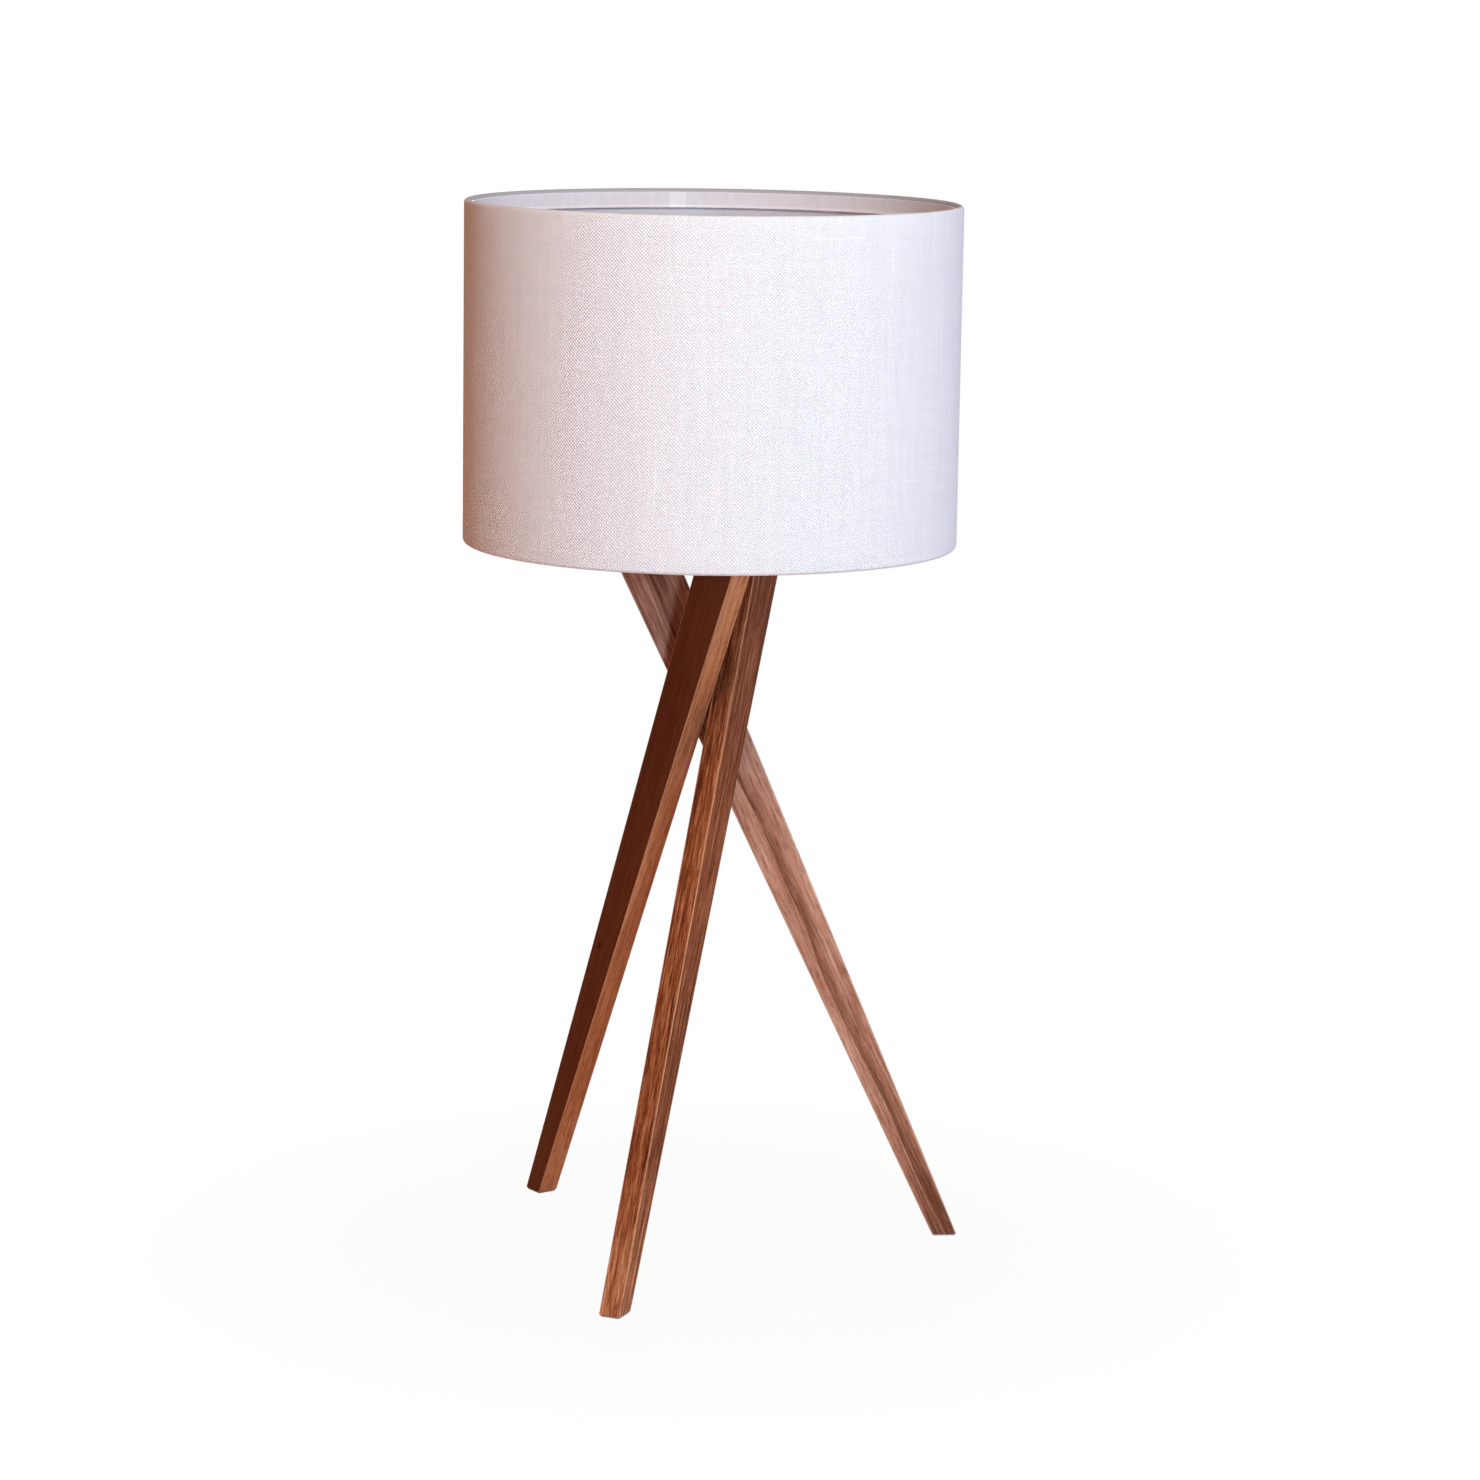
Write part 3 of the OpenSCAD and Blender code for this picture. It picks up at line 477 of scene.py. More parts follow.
def stacked(*parts, columns=96):
    """Grid of a turned surface whose rows are stacked from parts: radii and heights of a thread, and
    lists of (radius, height) points that are the same all round."""
    rows = [part if isinstance(part, tuple) else np.array(part).T[..., None].repeat(columns + 1, 2)
            for part in parts]
    return turned(*(np.concatenate(side) for side in zip(*rows)), columns)


def sleeve(outer, bore, ends_ease=0.3 * MM):
    """Grid of a threaded tube: the thread's rows, then an eased step in to the plain bore, down it, and
    out again to the first row."""
    radius, height = outer
    low, high = height[0, 0], height[-1, 0]
    down = [(radius[-1, 0] - ends_ease, high), (bore, high), (bore, low), (radius[0, 0] - ends_ease, low)]
    return stacked(outer, down, (radius[:1], height[:1]))


def moulded_plastic(name, colour, gloss):
    """Injection moulded plastic: even colour and a faint waviness left by the mould."""
    return mottled(name, 1.5 * MM, 3, (colour, "#8A8580"), (gloss - 0.06, gloss + 0.08), 0.05 * MM, 0.4,
                   veil=0.3)


nipple_low, nipple_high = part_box("nipple")
nipple_thread = thread(nipple_high.x, nipple_low.z, nipple_high.z, NIPPLE_PITCH, NIPPLE_THREAD)
piece("threaded_nipple", [sleeve(nipple_thread, NIPPLE_BORE)], zinc, "stand", "nipple")

piece("flat_washer", [ring_of("nipple_washer", NIPPLE_HOLE, WASHER_EDGE)], zinc, "stand", "nipple_washer")

# The nut is a turned blank with chamfered ends, cut to a hexagon
nut_low, nut_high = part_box("nipple_nut")
nut_flat = nut_high.y
nut_blank = nut_flat * 1.2
nut_rows = np.array([(NIPPLE_HOLE, nut_low.z), (nut_flat, nut_low.z), (nut_blank, nut_low.z + NUT_CHAMFER),
                     (nut_blank, nut_high.z - NUT_CHAMFER), (nut_flat, nut_high.z), (NIPPLE_HOLE, nut_high.z),
                     (NIPPLE_HOLE, nut_low.z)])
nut_angle = np.linspace(0, TURN, 145)
hexagon = nut_flat / np.cos(nut_angle % (TURN / 6) - TURN / 12)
piece("hexagon_nut", [turned(np.minimum(nut_rows[:, :1], hexagon), nut_rows[:, 1], 144)], zinc, "stand",
      "nipple_nut", crease=20)

bush_low, bush_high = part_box("cable_bush")
bush_rows = eased([(BUSH_BORE, bush_low.z), (bush_high.x, bush_low.z), (bush_high.x, nipple_low.z),
                   (BUSH_SPIGOT, nipple_low.z), (BUSH_SPIGOT, bush_high.z), (BUSH_BORE, bush_high.z)],
                  BUSH_EDGE)
piece("moulded_cable_bush", [turned(*bush_rows.T)], moulded_plastic("Black nylon", "#17171A", 0.45), "stand",
      "cable_bush")

# ---- Lamp holder ----
# The holder is pressed from black phenolic resin: a cap on the nipple, and a body that screws down over
# the cap's neck and carries an outer thread for the two rings that clamp the shade's hub.
CAP_EDGE = 0.8 * MM
CAP_CHAMFER = 1.5 * MM
CAP_FLOOR = 4 * MM
NECK_WALL = 2.2 * MM
BODY_WALL = 2.9 * MM
BODY_PITCH = 2.5 * MM
BODY_THREAD = 0.7 * MM
BODY_EDGE = 0.4 * MM
BODY_CHAMFER = 1.0 * MM, 1.2 * MM
BODY_GAP = 0.2 * MM
THREAD_FIT = 0.05 * MM
THREAD_BELOW = 2 * MM
SEAT_BITE = 0.1 * MM
LIP_RADIUS = 13.75 * MM
LIP_DEEP = 2 * MM
BOSS_RADIUS = 5.5 * MM
BOSS_ROOT = 2 * MM
BOSS_EDGE = 0.6 * MM
SHAFT_HOLE = 2.56 * MM
NOTCHES = 18
NOTCH_DEPTH = 1.0 * MM
NOTCH_HALF_WIDTH = 0.17  # of the notches' spacing
cap_low, cap_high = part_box("holder_cap")
body_low, body_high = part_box("holder_body")
seat_low, seat_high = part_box("seat_ring")
cap_radius = -cap_low.x  # its boss stands out at +x
body_radius = body_high.x
cap_top = body_low.z - BODY_GAP
thread_low, thread_high = seat_low.z - THREAD_BELOW, body_high.z - BODY_CHAMFER[1]
neck_radius = body_radius - BODY_WALL
shaft_z = sum(corner.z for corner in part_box("switch_shaft")) / 2


def to_side(grid):
    """Turns a grid made round the z axis to lie round the switch's axis: z becomes x."""
    return grid[..., [2, 0, 1]] + np.array([0, 0, shaft_z])


def notched(angle, count, half_width):
    """A share that rises smoothly to 1 in the middle of each of a count of notches round a turn: 1 less
    the square of the distance from the middle over the half width."""
    return np.clip(1 - (np.abs((angle * count / TURN + 0.5) % 1 - 0.5) / half_width) ** 2, 0, 1)


def grip_ring(low, high, bore, edge=0.7 * MM):
    """Grid of a ring with grip notches: the outside is R - d c, where c rises smoothly to 1 in each
    notch, and the rows near the top and bottom follow the ring's eased edges."""
    rows = ring_rows(bore, high.x, low.z, high.z, edge)
    notch = notched(np.linspace(0, TURN, 361), NOTCHES, NOTCH_HALF_WIDTH)
    out = (rows[:, :1] - bore) / (high.x - bore)
    return turned(rows[:, :1] - NOTCH_DEPTH * notch * out, rows[:, 1], 360)


# Brown-black, polished by its mould, with cloudy filler just under the skin
resin = mottled("Pressed phenolic resin", 1.4 * MM, 6, ("#131112", "#2A2321"), (0.16, 0.34), 0.03 * MM, 0.5,
                at=(0.35, 0.72), pattern={"Roughness": 0.7}, sockets={"IOR": 1.6})
cap_shell = eased([
    (NIPPLE_HOLE, cap_low.z), (cap_radius - CAP_EDGE, cap_low.z), (cap_radius, cap_low.z + CAP_CHAMFER),
    (cap_radius, cap_top), (neck_radius, cap_top), (neck_radius, cap_high.z),
    (neck_radius - NECK_WALL, cap_high.z), (neck_radius - NECK_WALL, cap_low.z + CAP_FLOOR),
    (NIPPLE_HOLE, cap_low.z + CAP_FLOOR)], CAP_EDGE)
boss = ring_rows(SHAFT_HOLE, BOSS_RADIUS, cap_radius - BOSS_ROOT, cap_high.x, BOSS_EDGE)
piece("holder_cap_shell", [turned(*cap_shell.T, 160), to_side(turned(*boss.T))], resin, "stand",
      "holder_cap")

outer_thread = thread(body_radius, thread_low, thread_high, BODY_PITCH, BODY_THREAD, 160)
body_foot = [(neck_radius + THREAD_FIT, body_low.z), (body_radius - BODY_EDGE, body_low.z),
             (body_radius, body_low.z + BODY_EDGE)]
body_head = [(body_radius - BODY_CHAMFER[0], body_high.z), (LIP_RADIUS + BODY_EDGE, body_high.z),
             (LIP_RADIUS, body_high.z - BODY_EDGE), (LIP_RADIUS, body_high.z - LIP_DEEP),
             (neck_radius, body_high.z - LIP_DEEP), body_foot[0]]
piece("holder_body_shell", [stacked(body_foot, outer_thread, body_head, columns=160)], resin, "stand",
      "holder_body")
piece("notched_seat_ring", [grip_ring(seat_low, seat_high, body_radius - SEAT_BITE)], resin, "stand",
      "seat_ring", crease=50)

# ---- Insulator, terminals and screw shell ----
# A glazed porcelain disc closes the neck. Brass terminals hang below it for the cable, and the stamped
# brass screw shell and the sprung centre tongue above it take the bulb.
SHELL_PITCH = 3.6 * MM
SHELL_THREAD = 0.8 * MM
SHELL_WALL = 0.5 * MM
SHELL_HOLE = 8 * MM


def brass():
    """Stamped brass: yellow metal with fine drawing lines and slight tarnish."""
    made, shader, put = finish("Stamped brass")
    here = put("TexCoord", out="Object")
    tarnish = put("TexNoise", {"Vector": here, "Scale": 1 / (4 * MM), "Detail": 5})
    drawn = put("VectorMath MULTIPLY", (here, (400, 400, 5000)))
    line = put("TexNoise", {"Vector": drawn, "Scale": 1, "Detail": 2})
    feed(shader, {
        "Base Color": put("ValToRGB", {"Fac": tarnish}, ramp=[(0.3, "#A97F3A"), (0.7, "#D9B565")]),
        "Metallic": 1.0,
        "Roughness": put("MapRange", {"Value": tarnish, "To Min": 0.2, "To Max": 0.42}),
        "Normal": put("Bump", {"Height": line, "Distance": 0.02 * MM, "Strength": 0.6})})
    return made


# White and glassy, a little wavy where the glaze pooled
glaze = mottled("Glazed porcelain", 6 * MM, 4, ("#E6DFD0", "#F2EEE4"), 0.14, 0.1 * MM, 0.3,
                sockets={"Coat Weight": 0.6, "Coat Roughness": 0.05})
stamped_brass = brass()
keep_nodes(glaze, "holder_insulator", "switch_block")
keep_nodes(stamped_brass, "terminals", "centre_contact")

shell_low, shell_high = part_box("screw_shell")
shell_floor = shell_low.z + SHELL_WALL
shell_outer = thread(shell_high.x, shell_floor, shell_high.z, SHELL_PITCH, SHELL_THREAD)
shell_inner = shell_outer[0][::-1] - SHELL_WALL, shell_outer[1][::-1]
shell_foot = [(SHELL_HOLE, shell_floor), (SHELL_HOLE, shell_low.z), (shell_high.x - SHELL_WALL, shell_low.z)]
piece("brass_screw_shell", [stacked(shell_foot, shell_outer, shell_inner, shell_foot[:1])], stamped_brass,
      "stand", "screw_shell")

# ---- Switch ----
# A steel shaft runs through the boss in the cap and turns the contacts. Its fluted resin knob has a
# white line let into the end, which shows how far it is turned.
FLUTES = 12
FLUTE_DEPTH = 0.6 * MM
FLUTE_HALF_WIDTH = 0.22  # of the flutes' spacing
KNOB_BORE = 2.6 * MM
KNOB_DOME = 1.2 * MM
KNOB_EDGE = 0.9 * MM
KNOB_FACE = 0.8  # of the knob's radius
LINE_HALF = 2.6 * MM, 0.45 * MM
LINE_CORNER, LINE_EDGE = 0.4 * MM, 0.05 * MM
LINE_DEEP, LINE_SUNK = 0.4 * MM, 0.01 * MM
LINE_OFF_AXIS = 3.6 * MM
knob_low, knob_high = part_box("switch_knob")
knob_radius = (knob_high.z - knob_low.z) / 2
face_radius = knob_radius * KNOB_FACE
knob_rows = eased([(KNOB_BORE, knob_low.x), (knob_radius, knob_low.x), (knob_radius, knob_high.x - KNOB_DOME),
                   (face_radius, knob_high.x), (0, knob_high.x)], KNOB_EDGE, closed=False)
flute = notched(np.linspace(0, TURN, 193), FLUTES, FLUTE_HALF_WIDTH)
rim = np.clip((knob_rows[:, :1] - face_radius) / (knob_radius - face_radius), 0, 1)
piece("fluted_knob", [to_side(turned(knob_rows[:, :1] - FLUTE_DEPTH * flute * rim, knob_rows[:, 1], 192))],
      resin, "switch", "switch_knob", crease=50)

line_ends = [(np.array([0, 0, knob_high.x - deep]), *LINE_HALF) for deep in (LINE_DEEP, LINE_SUNK)]
line = bar(line_ends, (1, 0), LINE_CORNER, LINE_EDGE, rows=3) + np.array([LINE_OFF_AXIS, 0, 0])
piece("knob_line", [to_side(line)], moulded_plastic("White filler paint", "#E9E7E1", 0.5), "switch",
      None)

# ---- Shade frame ----
# Rings of 3 mm steel wire hold the shade round at the top and bottom. Three arms are welded between the
# lower ring and the hub that drops over the holder, and all of it is powder coated white.
HUB_EDGE = 0.5 * MM
RING_FIT = 0.3 * MM
ARM_RADIUS = 1.75 * MM
ARM_INWARD, ARM_UP = 1.2 * MM, 0.5 * MM  # of the lower wire's middle
ARM_BITE = 0.6 * MM
ARM_AZIMUTHS = np.radians([30, 150, 270])
WELD = 0.9 * MM


def rod(start, stop, radius, weld, columns=24, rows=40):
    """Grid of a straight bar from start to stop. Its radius swells as w exp(-s / w) within s of either
    end, where the weld bead runs up it, and its ends shrink to the middle."""
    along = stop - start
    long = np.linalg.norm(along)
    axis = along / long
    side = np.cross(axis, [0, 0, 1])
    side = side / np.linalg.norm(side)
    up = np.cross(side, axis)
    share = (1 - np.cos(np.linspace(0, math.pi, rows))) / 2
    reach = np.minimum(share, 1 - share) * long
    swell = radius + weld * np.exp(-reach / weld)
    swell = np.concatenate([[0], swell, [0]])[:, None, None]
    middle = start + np.concatenate([[0], share, [1]])[:, None] * along
    angle = np.linspace(0, TURN, columns + 1)[:, None]
    return middle[:, None] + swell * (np.cos(angle) * side + np.sin(angle) * up)


white_coat = powder_coat("White powder coat", "#E8E7E3")
rim_boxes = {place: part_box(f"shade_{place}_wire") for place in ("top", "bottom")}
rim_z = {place: (box[0].z + box[1].z) / 2 for place, box in rim_boxes.items()}
wire_radius = (rim_boxes["top"][1].z - rim_boxes["top"][0].z) / 2
wire_circle = rim_boxes["top"][1].x - wire_radius
section = np.linspace(0, TURN, 17)
for place, z in rim_z.items():
    ring = turned(wire_circle + wire_radius * np.cos(section), z + wire_radius * np.sin(section), 240)
    piece(f"{place}_rim_wire", [ring], white_coat, "shade", f"shade_{place}_wire")

piece("shade_hub", [ring_of("spider_hub", body_radius + RING_FIT, HUB_EDGE, 160)], white_coat, "shade",
      "spider_hub")

hub_low, hub_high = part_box("spider_hub")
arms = []
for azimuth in ARM_AZIMUTHS:
    out = np.array([math.cos(azimuth), math.sin(azimuth), 0])
    low = out * (wire_circle - ARM_INWARD) + [0, 0, rim_z["bottom"] + ARM_UP]
    high = out * (hub_high.x - ARM_BITE) + [0, 0, (hub_low.z + hub_high.z) / 2]
    arms.append(rod(low, high, ARM_RADIUS, WELD))
piece("shade_arms", arms, white_coat, "shade", "spider_arms")

# ---- Shade lining ----
# The shade's stiff wall is a strip of white styrene, 0.8 mm thick, rolled into a drum and stuck to
# itself at the back, with the linen pressed on its glued outer side.
LINING_WALL = 0.8 * MM
LINING_EDGE = 0.2 * MM
lining_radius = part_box("shade_lining")[1].x

# Smooth and softly glossy, faintly lilac, and a little uneven where the glue behind it took hold. Its grey
# tone is painted shade: the sheet is white, and the inside of the drum is dim.
styrene = mottled("White styrene sheet", 14 * MM, 4, ("#CCC9D0", "#D4D1D8"), (0.38, 0.52), 0.12 * MM, 0.4)
piece("styrene_lining", [ring_of("shade_lining", lining_radius - LINING_WALL, LINING_EDGE, 360)], styrene,
      "shade", "shade_lining")

# ---- Linen cover ----
# A strip of slubby off-white linen is laminated round the lining, lapped at the back, and rolled in over
# the wire at both rims, with notches cut in the lower roll where the arms pass.
LINEN = 0.7 * MM
ROLL_GAP = 0.3 * MM
ROLL_OUT = wire_radius + ROLL_GAP + LINEN
TUCK = math.radians(215)
NOTCH_TUCK = math.radians(120)
NOTCH_HALF = 2.6 * MM
SEAM_AZIMUTH = math.radians(108)
SEAM_WIDTH = 12 * MM
SEAM_RISE = 0.4 * MM
THREAD = 1.2 * MM
# How an uneven thread and a slub change along it: length in threads, how proud they stand in millimetres,
# their share of the way from grey to white, and the values of the noise between which they grow
UNEVEN = ((50, 0.10, 0.11, 0.3, 0.7), (110, 0.06, 0.18, 0.68, 0.74))
# The weave and the fuzz are also coloured darker where they sink: painted shade in the cloth's hollows
WEAVE_RELIEF, WEAVE_SHADE = 0.27, 0.14
FUZZ_RELIEF, FUZZ_SHADE = 0.18, 0.12
cover_radius = wire_circle + ROLL_OUT
rim_apart = rim_z["top"] - rim_z["bottom"]


def linen_cloth():
    """Plain woven linen of uneven yarn: matt, off-white, its threads thick and thin, with a few long slubs
    that stand proud. The UV map is the flat cloth in metres. The threads are drawn 1.2 mm apart, twice
    as coarse as they are, so that the weave shows."""
    made, shader, put = finish("Slubbed off-white linen")
    flat = put("UVMap", uv_map="thread")
    cloth = put("VectorMath SCALE", {0: flat, "Scale": 1 / THREAD})
    # Counted in threads, which wander sideways by a third of their spacing
    slow = put("VectorMath MULTIPLY", (cloth, (1 / 16, 1 / 16, 0)))
    drift = put("TexNoise", {"Vector": slow, "Scale": 1, "Detail": 1}, out="Color")
    moved = put("VectorMath MULTIPLY_ADD", (drift, (1.4, 1.4, 0), cloth))
    level, upright, _ = put("SeparateXYZ", (moved,), out=None)
    crests, heights, tones = [], [], []
    for across, along, step, share in ((level, upright, 0.37, 1.0), (upright, level, 0.61, 0.7)):
        # A thread's section is the half wave |sin pi x|, and its thickness varies along it by itself
        crest = put("Math SINE", (put("Math MULTIPLY", (across, math.pi)),))
        section = put("Math ABSOLUTE", (crest,))
        number = put("Math MULTIPLY", (put("Math FLOOR", (across,)), step))
        crests.append(crest)
        for long, relief, tint, low, high in UNEVEN:
            run = put("Math MULTIPLY", (along, 1 / long))
            place = put("CombineXYZ", (number, run, long * step))
            uneven = put("TexNoise", {"Vector": place, "Scale": 1, "Detail": 2, "Roughness": 0.6})
            thick = put("MapRange", {"Value": uneven, "From Min": low, "From Max": high})
            heights.append((put("Math MULTIPLY", (thick, section)), relief * share))
            tones.append((thick, tint * share))
    # Over and under: the product of the two waves is high where the warp lies on top, low where the
    # weft does
    weave = put("Math MULTIPLY", crests)
    fuzz = put("TexNoise", {"Vector": cloth, "Scale": 0.9, "Detail": 4, "Roughness": 0.7})
    heights += [(weave, WEAVE_RELIEF), (fuzz, FUZZ_RELIEF)]
    # Painted shade: the weave and the fuzz are coloured darker where their relief sinks
    tones += [(weave, WEAVE_SHADE), (fuzz, FUZZ_SHADE)]
    height, tone = 0.0, 0.5 - UNEVEN[0][2] - FUZZ_SHADE / 2
    for part, share in heights:
        height = put("Math MULTIPLY_ADD", (part, share, height))
    for part, share in tones:
        tone = put("Math MULTIPLY_ADD", (part, share, tone))
    colour = put("ValToRGB", {"Fac": tone}, ramp=[(0.0, "#CFC9C4"), (0.5, "#E9E5E1"), (1.0, "#FFFEFC")])
    # Painted shade: the turned-in edges of the rolls are greyed, as they face away from the light
    middle = rim_apart / 2
    up = put("Math SUBTRACT", (put("SeparateXYZ", (flat,), out="Y"), middle))
    far = put("Math ABSOLUTE", (up,))
    painted_roll_shade = put("MapRange", {"Value": far, "From Min": middle + 1.1 * ROLL_OUT,
                              "From Max": middle + 1.7 * ROLL_OUT, "To Max": 0.6})
    feed(shader, {
        "Base Color": put("MixRGB", (painted_roll_shade, colour, "#938F92")),
        "Roughness": 0.95, "Specular IOR Level": 0.03,
        "Normal": put("Bump", {"Height": height, "Distance": MM, "Strength": 1.0})})
    return made


def linen_grid(columns=720, roll_rows=14, wall_rows=24):
    """Grid and flat cloth coordinates of the linen. A column is the cloth's section: round the bottom
    wire, up the wall and round the top wire on the outside, then back on the inside. In a roll the
    section is the wire's circle, c + p (cos f, sin f), with f from the tucked end to the wall, and p
    the roll's outer or inner radius. The lower tuck shortens to a notch at each arm, and the outside
    rises by the seam's thickness where the cloth laps, with one edge crisp and the other soft."""
    azimuth = np.linspace(0, TURN, columns + 1)
    off_arm = np.min([np.abs((azimuth - arm + math.pi) % TURN - math.pi) for arm in ARM_AZIMUTHS], 0)
    notch = np.clip(1 - (off_arm * wire_circle / NOTCH_HALF) ** 2, 0, 1)
    low_tuck = TUCK - (TUCK - NOTCH_TUCK) * np.sqrt(notch)
    share = np.linspace(0, 1, roll_rows)[:, None]
    low_turn = -low_tuck * (1 - share)
    high_turn = TUCK * share + 0 * azimuth
    lap = (azimuth - SEAM_AZIMUTH) * cover_radius / SEAM_WIDTH
    lapped = np.clip(lap / 0.06, 0, 1) * np.clip((1 - lap) / 0.35, 0, 1)
    rise = SEAM_RISE * np.where((lap > 0) & (lap < 1), lapped, 0)
    flat_z = np.linspace(rim_z["bottom"], rim_z["top"], wall_rows)[1:-1, None]

    def side(roll, rise):
        """The section at one face of the cloth: lower roll, wall and upper roll."""
        fade = [roll + rise * np.clip(np.cos(turn), 0, 1) for turn in (low_turn, high_turn)]
        radius = [wire_circle + fade[0] * np.cos(low_turn), wire_circle + roll + rise + 0 * flat_z,
                  wire_circle + fade[1] * np.cos(high_turn)]
        height = [rim_z["bottom"] + fade[0] * np.sin(low_turn), flat_z + 0 * azimuth,
                  rim_z["top"] + fade[1] * np.sin(high_turn)]
        return np.concatenate(radius), np.concatenate(height)

    outer, inner = side(ROLL_OUT, rise), side(ROLL_OUT - LINEN, 0 * rise)
    wall_up = flat_z - rim_z["bottom"] + 0 * azimuth
    up = np.concatenate([ROLL_OUT * low_turn, wall_up, rim_apart + ROLL_OUT * high_turn])
    radius, height, up = (np.concatenate([a, b[::-1], a[:1]]) for a, b in (*zip(outer, inner), (up, up)))
    along = np.broadcast_to(azimuth * cover_radius, up.shape)
    return turned(radius, height, columns), np.stack([along, up], -1)


cover, cover_map = linen_grid()
linen = piece("linen_cover", [cover], linen_cloth(), "shade", "shade_linen", crease=50,
              maps=[cover_map])

# ---- Hem bands ----
# A glossy white self-adhesive tape is stuck round the inside of both rims. The upper one bridges from the
# lining to the rolled linen and hides its cut edge. Its ends overlap at the back, where the tape is coloured
# whiter.
BAND = 0.6 * MM
BAND_LIFT = 1.6 * MM
BAND_FLAT = 2 * MM
BAND_TURN = np.radians([205, 180])
LAP_AZIMUTH = math.radians(101.3)
LAP_LENGTH = 13 * MM
LAP_RISE = 0.35 * MM


def hem_tape():
    """Glossy white vinyl tape: smooth, with shallow upright ripples from being pulled along by hand, a
    little grey where it is single and white where its ends overlap."""
    made, shader, put = finish("Glossy white hem tape")
    here = put("TexCoord", out="Object")
    pulled = put("VectorMath MULTIPLY", (here, (1 / 5, 1 / 5, 1 / 40)))
    ripple = put("TexNoise", {"Vector": pulled, "Scale": 1 / MM, "Detail": 3})
    x, y, _ = put("SeparateXYZ", (here,), out=None)
    azimuth = put("Math ARCTAN2", (y, x))
    lap_half = LAP_LENGTH / lining_radius / 2
    off_middle = put("Math SUBTRACT", (azimuth, LAP_AZIMUTH - lap_half))
    off_middle = put("Math ABSOLUTE", (off_middle,))
    single = put("Math GREATER_THAN", (off_middle, lap_half))
    white = put("ValToRGB", {"Fac": ripple}, ramp=[(0.3, "#FAF9F8"), (0.7, "#FFFFFF")])
    grey = put("ValToRGB", {"Fac": ripple}, ramp=[(0.3, "#EFEAEB"), (0.7, "#F5F1F2")])
    feed(shader, {
        "Base Color": put("MixRGB", (single, white, grey)), "Roughness": 0.36,
        "Normal": put("Bump", {"Height": ripple, "Distance": 0.4 * MM, "Strength": 0.5})})
    return made


def band_grid(low, high, rolled):
    """Grid of a hem band. Its section lies between the lining's radius R and R - t, and leans in by a
    lift that grows evenly from its upper to its lower edge. A rolled band bridges from the lining to the
    circles round the wire of the linen's roll and of t more. At the lap the face stands off by one more
    step, crisp at one end and fading to the other as the square root of what is left of it."""
    far = high.x - BAND
    face, back = [(far, low.z), (far, high.z)], [(high.x, high.z), (high.x, low.z)]
    if rolled:
        turn = np.linspace(*BAND_TURN, 5)[:, None]
        ring = np.concatenate([np.cos(turn), np.sin(turn)], 1)
        wire = np.array([wire_circle, rim_z["top"]])
        face = np.concatenate([[(far, low.z), (far, low.z + BAND_FLAT)], wire + (ROLL_OUT + BAND) * ring])
        back = np.concatenate([wire + ROLL_OUT * ring[::-1],
                               [(high.x, low.z + BAND_FLAT + BAND), (high.x, low.z)]])
    rows = eased(np.concatenate([face, back]), BAND / 4, steps=3)
    azimuth = np.linspace(0, TURN, 1441)
    lap = (LAP_AZIMUTH - azimuth) * high.x / LAP_LENGTH
    over = np.where((lap > 0) & (lap < 1), np.clip(lap / 0.05, 0, 1) * (1 - np.clip(lap, 0, 1)) ** 0.5, 0)
    inside = np.clip((high.x - rows[:, :1]) / BAND, 0, 1)
    down = np.clip((high.z - rows[:, 1:]) / (high.z - low.z), 0, 1)
    return turned(rows[:, :1] - inside * over * LAP_RISE - BAND_LIFT * down, rows[:, 1], 1440)


tape = hem_tape()
for place in ("top", "bottom"):
    band = band_grid(*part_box(f"shade_{place}_band"), rolled=place == "top")
    piece(f"{place}_hem_tape", [band], tape, "shade", f"shade_{place}_band")

# ---- Retaining ring ----
# A second notched ring of phenolic resin screws down the holder's thread and clamps the shade's hub on
# the seat ring.
ring_low, ring_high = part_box("retaining_ring")
piece("notched_retaining_ring", [grip_ring(ring_low, ring_high, body_radius + RING_FIT)], resin, "ring",
      "retaining_ring", crease=50)

# ---- Bulb ----
# A small globe bulb: opal glass blown in one piece with its neck, cemented into a nickel plated screw
# cap with black glass and a brass contact at its tip.
CAP_WALL = 0.35 * MM
TIP_EDGE = 0.8 * MM
TIP_RIM = 1.1 * MM
TIP_SPARE = 0.2 * MM
CONTACT_EDGE = 0.6 * MM
CONTACT_DOME = 1.2 * MM
GLASS = 1.0 * MM
NECK_RADIUS = 12.3 * MM
NECK_BEND = 2 * MM
bulb_low, bulb_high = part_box("bulb_cap")
glass_low, glass_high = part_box("bulb_black_glass")
contact_low, contact_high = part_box("bulb_contact")
globe_low, globe_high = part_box("bulb_globe")
globe_radius = globe_high.x
globe_z = globe_high.z - globe_radius
neck_z = bulb_high.z
neck_far = math.hypot(NECK_RADIUS, globe_z - neck_z)
flare = math.asin(globe_radius / neck_far) - math.atan2(NECK_RADIUS, globe_z - neck_z)


def nickel():
    """Nickel plate on stamped brass: bright, slightly warm metal with faint scuffs round the thread."""
    made, shader, put = finish("Nickel plated screw cap")
    round_it = put("VectorMath MULTIPLY", (put("TexCoord", out="Object"), (300, 300, 2500)))
    scuff = put("TexNoise", {"Vector": round_it, "Scale": 1, "Detail": 4})
    feed(shader, {
        "Base Color": put("ValToRGB", {"Fac": scuff}, ramp=[(0.3, "#B4B1AA"), (0.7, "#D2D0CB")]),
        "Metallic": 1.0,
        "Roughness": put("MapRange", {"Value": scuff, "To Min": 0.16, "To Max": 0.38}),
        "Normal": put("Bump", {"Height": scuff, "Distance": 0.02 * MM})})
    return made


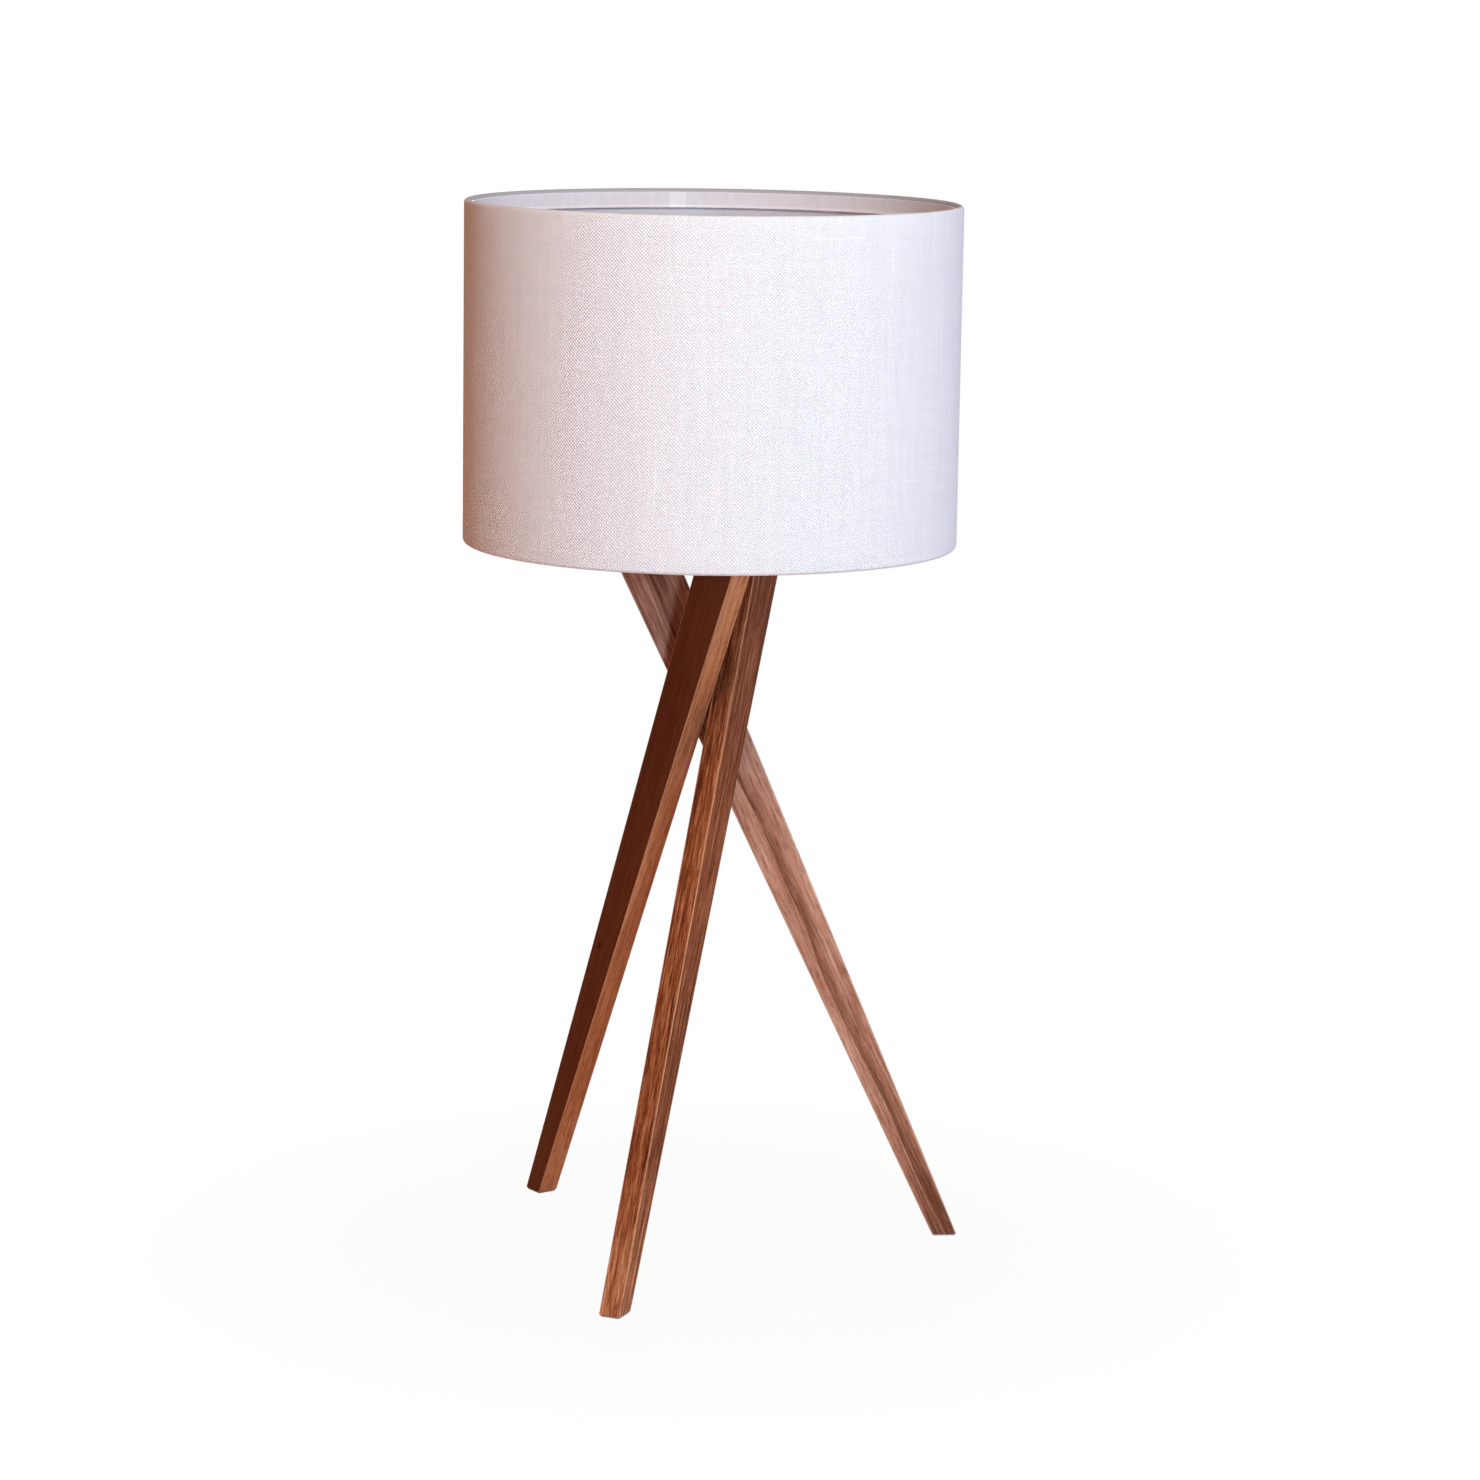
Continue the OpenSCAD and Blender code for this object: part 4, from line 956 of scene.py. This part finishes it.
def globe_rows(inset):
    """Outline of the glass set in by a wall: the neck, a cone that widens at the flare's angle, and the
    sphere from where the cone touches it up to its top."""
    turn = np.linspace(-flare, math.pi / 2, 40)
    sphere = np.stack([np.cos(turn), np.sin(turn)], -1) * (globe_radius - inset) + [0, globe_z]
    sphere[-1, 0] = 0
    bend = np.linspace(-NECK_BEND, NECK_BEND, 7)[:, None]
    curve = np.clip(bend, 0, None) * math.tan(flare) * 0.5
    neck = np.concatenate([NECK_RADIUS - inset + curve, neck_z + bend], 1)
    return np.concatenate([[(NECK_RADIUS - inset, globe_low.z)], neck, sphere])


screw = thread(bulb_high.x, bulb_low.z, bulb_high.z, SHELL_PITCH, SHELL_THREAD)
piece("bulb_screw_cap", [sleeve(screw, bulb_high.x - SHELL_THREAD - CAP_WALL)], nickel(), "bulb",
      "bulb_cap")

# Glossy, with a few flow marks from the press
black_glass = mottled("Black insulating glass", 3 * MM, 3, ("#0E0D10", "#1E1C22"), 0.12, 0.08 * MM, 0.5,
                      pattern={"Distortion": 2.0}, sockets={"IOR": 1.55})
tip_rows = eased([(0, glass_low.z), (contact_high.x + TIP_SPARE, glass_low.z),
                  (glass_high.x, glass_high.z - TIP_RIM), (glass_high.x, glass_high.z),
                  (0, glass_high.z)], TIP_EDGE, closed=False)
piece("bulb_tip_glass", [turned(*tip_rows.T)], black_glass, "bulb", "bulb_black_glass")
contact_rows = eased([(0, contact_low.z), (contact_high.x - CONTACT_DOME, contact_low.z),
                      (contact_high.x, contact_high.z), (0, contact_high.z)], CONTACT_EDGE, closed=False)
piece("bulb_tip_contact", [turned(*contact_rows.T, 48)], stamped_brass, "bulb", "bulb_contact")

# Milk white all through under a clear glossy skin, slightly warm, with the soft streaks of its blowing
opal = mottled("Opal glass", 18 * MM, 3, ("#EFEBE1", "#F7F4EC"), 0.16, 0.15 * MM, 0.25,
               pattern={"Distortion": 1.0}, sockets={"IOR": 1.5, "Coat Weight": 0.5, "Coat Roughness": 0.04})
outside, inside = globe_rows(0), globe_rows(GLASS)
piece("opal_globe", [turned(*np.concatenate([inside[:1], outside]).T, 128), turned(*inside.T, 128)],
      opal, "bulb", "bulb_globe")

# Inside the opal globe: a smooth clear stem, and sticks with a matt powdery coat
stem_glass = mottled("Flared glass stem", 5 * MM, 3, ("#DCE6E4", "#8C8C8C"), 0.08, 0.05 * MM, veil=0.3)
phosphor = mottled("Yellow phosphor coat", 0.6 * MM, 3, ("#E7C45A", "#8C8C8C"), 0.7, 0.05 * MM, veil=0.3)
keep_nodes(stem_glass, "bulb_stem")
keep_nodes(phosphor, "bulb_sticks")

# ---- Studio ----
# A wide pale floor, under a camera that looks a little down. A low cool key light and a high soft one stand
# at its right, a cool edge light further round, a low warm fill at its left, and one lamp behind.
PHOTO = 1480
SENSOR = 36
FOCUS_PX = 4394.5
EYE = (-2.8 * MM, -3096.0 * MM, 924.8 * MM)
PITCH, YAW, ROLL = (math.radians(angle) for angle in (-10.087, 0.491, 0.880))
FLOOR_HALF = 40
FLOOR_FADE = (0.2, 0.48)
LAMP_MIDDLE = (0, 0, 0.42)
LIGHTS = {  # azimuth from the camera's side, elevation, distance, size, colour, share of full exposure
    "key": (14, 9, 2.6, 0.4, (0.47, 0.72, 1.0), 0.61),
    "high": (14, 45, 2.6, 1.0, (1.0, 0.93, 0.87), 0.62),
    "edge": (105, 8, 2.6, 0.8, (0.50, 0.62, 1.0), 0.44),
    "warm_fill": (-64, 8, 2.6, 0.8, (1.0, 0.23, 0.0), 0.14),
    "back": (182, 14, 2.6, 1.2, (1.0, 0.95, 0.92), 0.5)}


eye = placed("Camera", bpy.data.cameras.new("Camera"))
eye.matrix_world = (Matrix.Translation(EYE) @ Matrix.Rotation(-YAW, 4, "Z")
                    @ Matrix.Rotation(math.pi / 2 + PITCH, 4, "X") @ Matrix.Rotation(ROLL, 4, "Z"))
eye.data.sensor_width = SENSOR
eye.data.lens = SENSOR * FOCUS_PX / PHOTO
eye.data.clip_start, eye.data.clip_end = 0.05, 200
bpy.context.scene.camera = eye


def seen(put):
    """1 for a ray from the camera, or seen in gloss or through glass, and 0 for one that lights."""
    path = put("LightPath", out=None)
    direct = put("Math MAXIMUM", (path["Is Camera Ray"], path["Is Glossy Ray"]))
    return put("Math MAXIMUM", (direct, path["Is Transmission Ray"]))


def pale_floor():
    """White painted studio floor: matt, seen as white, and darkened by the lamp's shadow close to it."""
    made, shader, put = finish("White studio floor")
    here = put("TexCoord", out="Object")
    far = put("VectorMath LENGTH", (here,), out="Value")
    white = put("MapRange", {"Value": far, "From Min": FLOOR_FADE[0], "From Max": FLOOR_FADE[1],
                             "To Min": 0.95, "To Max": 1.0}, **SMOOTH)
    grain = put("TexNoise", {"Vector": here, "Scale": 1 / (2 * MM), "Detail": 2})
    feed(shader, {
        "Base Color": put("ValToRGB", {"Fac": grain}, ramp=[(0.3, "#D9BFB2"), (0.7, "#DEC4B7")]),
        "Roughness": 1.0, "Specular IOR Level": 0.0})
    glow = put("Emission", ((1, 1, 1, 1), 1.0))
    part = put("Math MULTIPLY", (white, seen(put)))
    mixed = put("MixShader", (part, shader.outputs[0], glow))
    feed(made.node_tree.nodes["Material Output"], {"Surface": mixed})
    return made


floor_mesh = bpy.data.meshes.new("floor")
floor_corners = np.array([(-1, -1, 0), (1, -1, 0), (1, 1, 0), (-1, 1, 0)]) * FLOOR_HALF
floor_mesh.from_pydata(floor_corners, [], [(0, 1, 2, 3)])
floor_mesh.materials.append(pale_floor())
placed("floor", floor_mesh)

world = bpy.data.worlds.new("Studio")
world.use_nodes = True
bpy.context.scene.world = world
hang = partial(add, world.node_tree)
backdrop = hang("Background", ((1, 1, 1, 1), 1.0))
room = hang("Background", ((1.0, 0.68, 0.54, 1), 0.145))
feed(world.node_tree.nodes["World Output"], {"Surface": hang("MixShader", (seen(hang), room, backdrop))})

for name, (azimuth, elevation, distance, size, colour, share) in LIGHTS.items():
    lamp = bpy.data.lights.new(name, "AREA")
    lamp.shape, lamp.size, lamp.color = "DISK", size, colour
    lamp.energy = share * math.pi ** 2 * distance ** 2
    made = placed(name, lamp)
    a, e = math.radians(azimuth), math.radians(elevation)
    spot = np.array([math.sin(a) * math.cos(e), -math.cos(a) * math.cos(e), math.sin(e)]) * distance
    made.location = spot + LAMP_MIDDLE
    made.rotation_euler = Vector(-spot).to_track_quat("-Z", "Y").to_euler()

bpy.context.scene.view_settings.view_transform = "Standard"
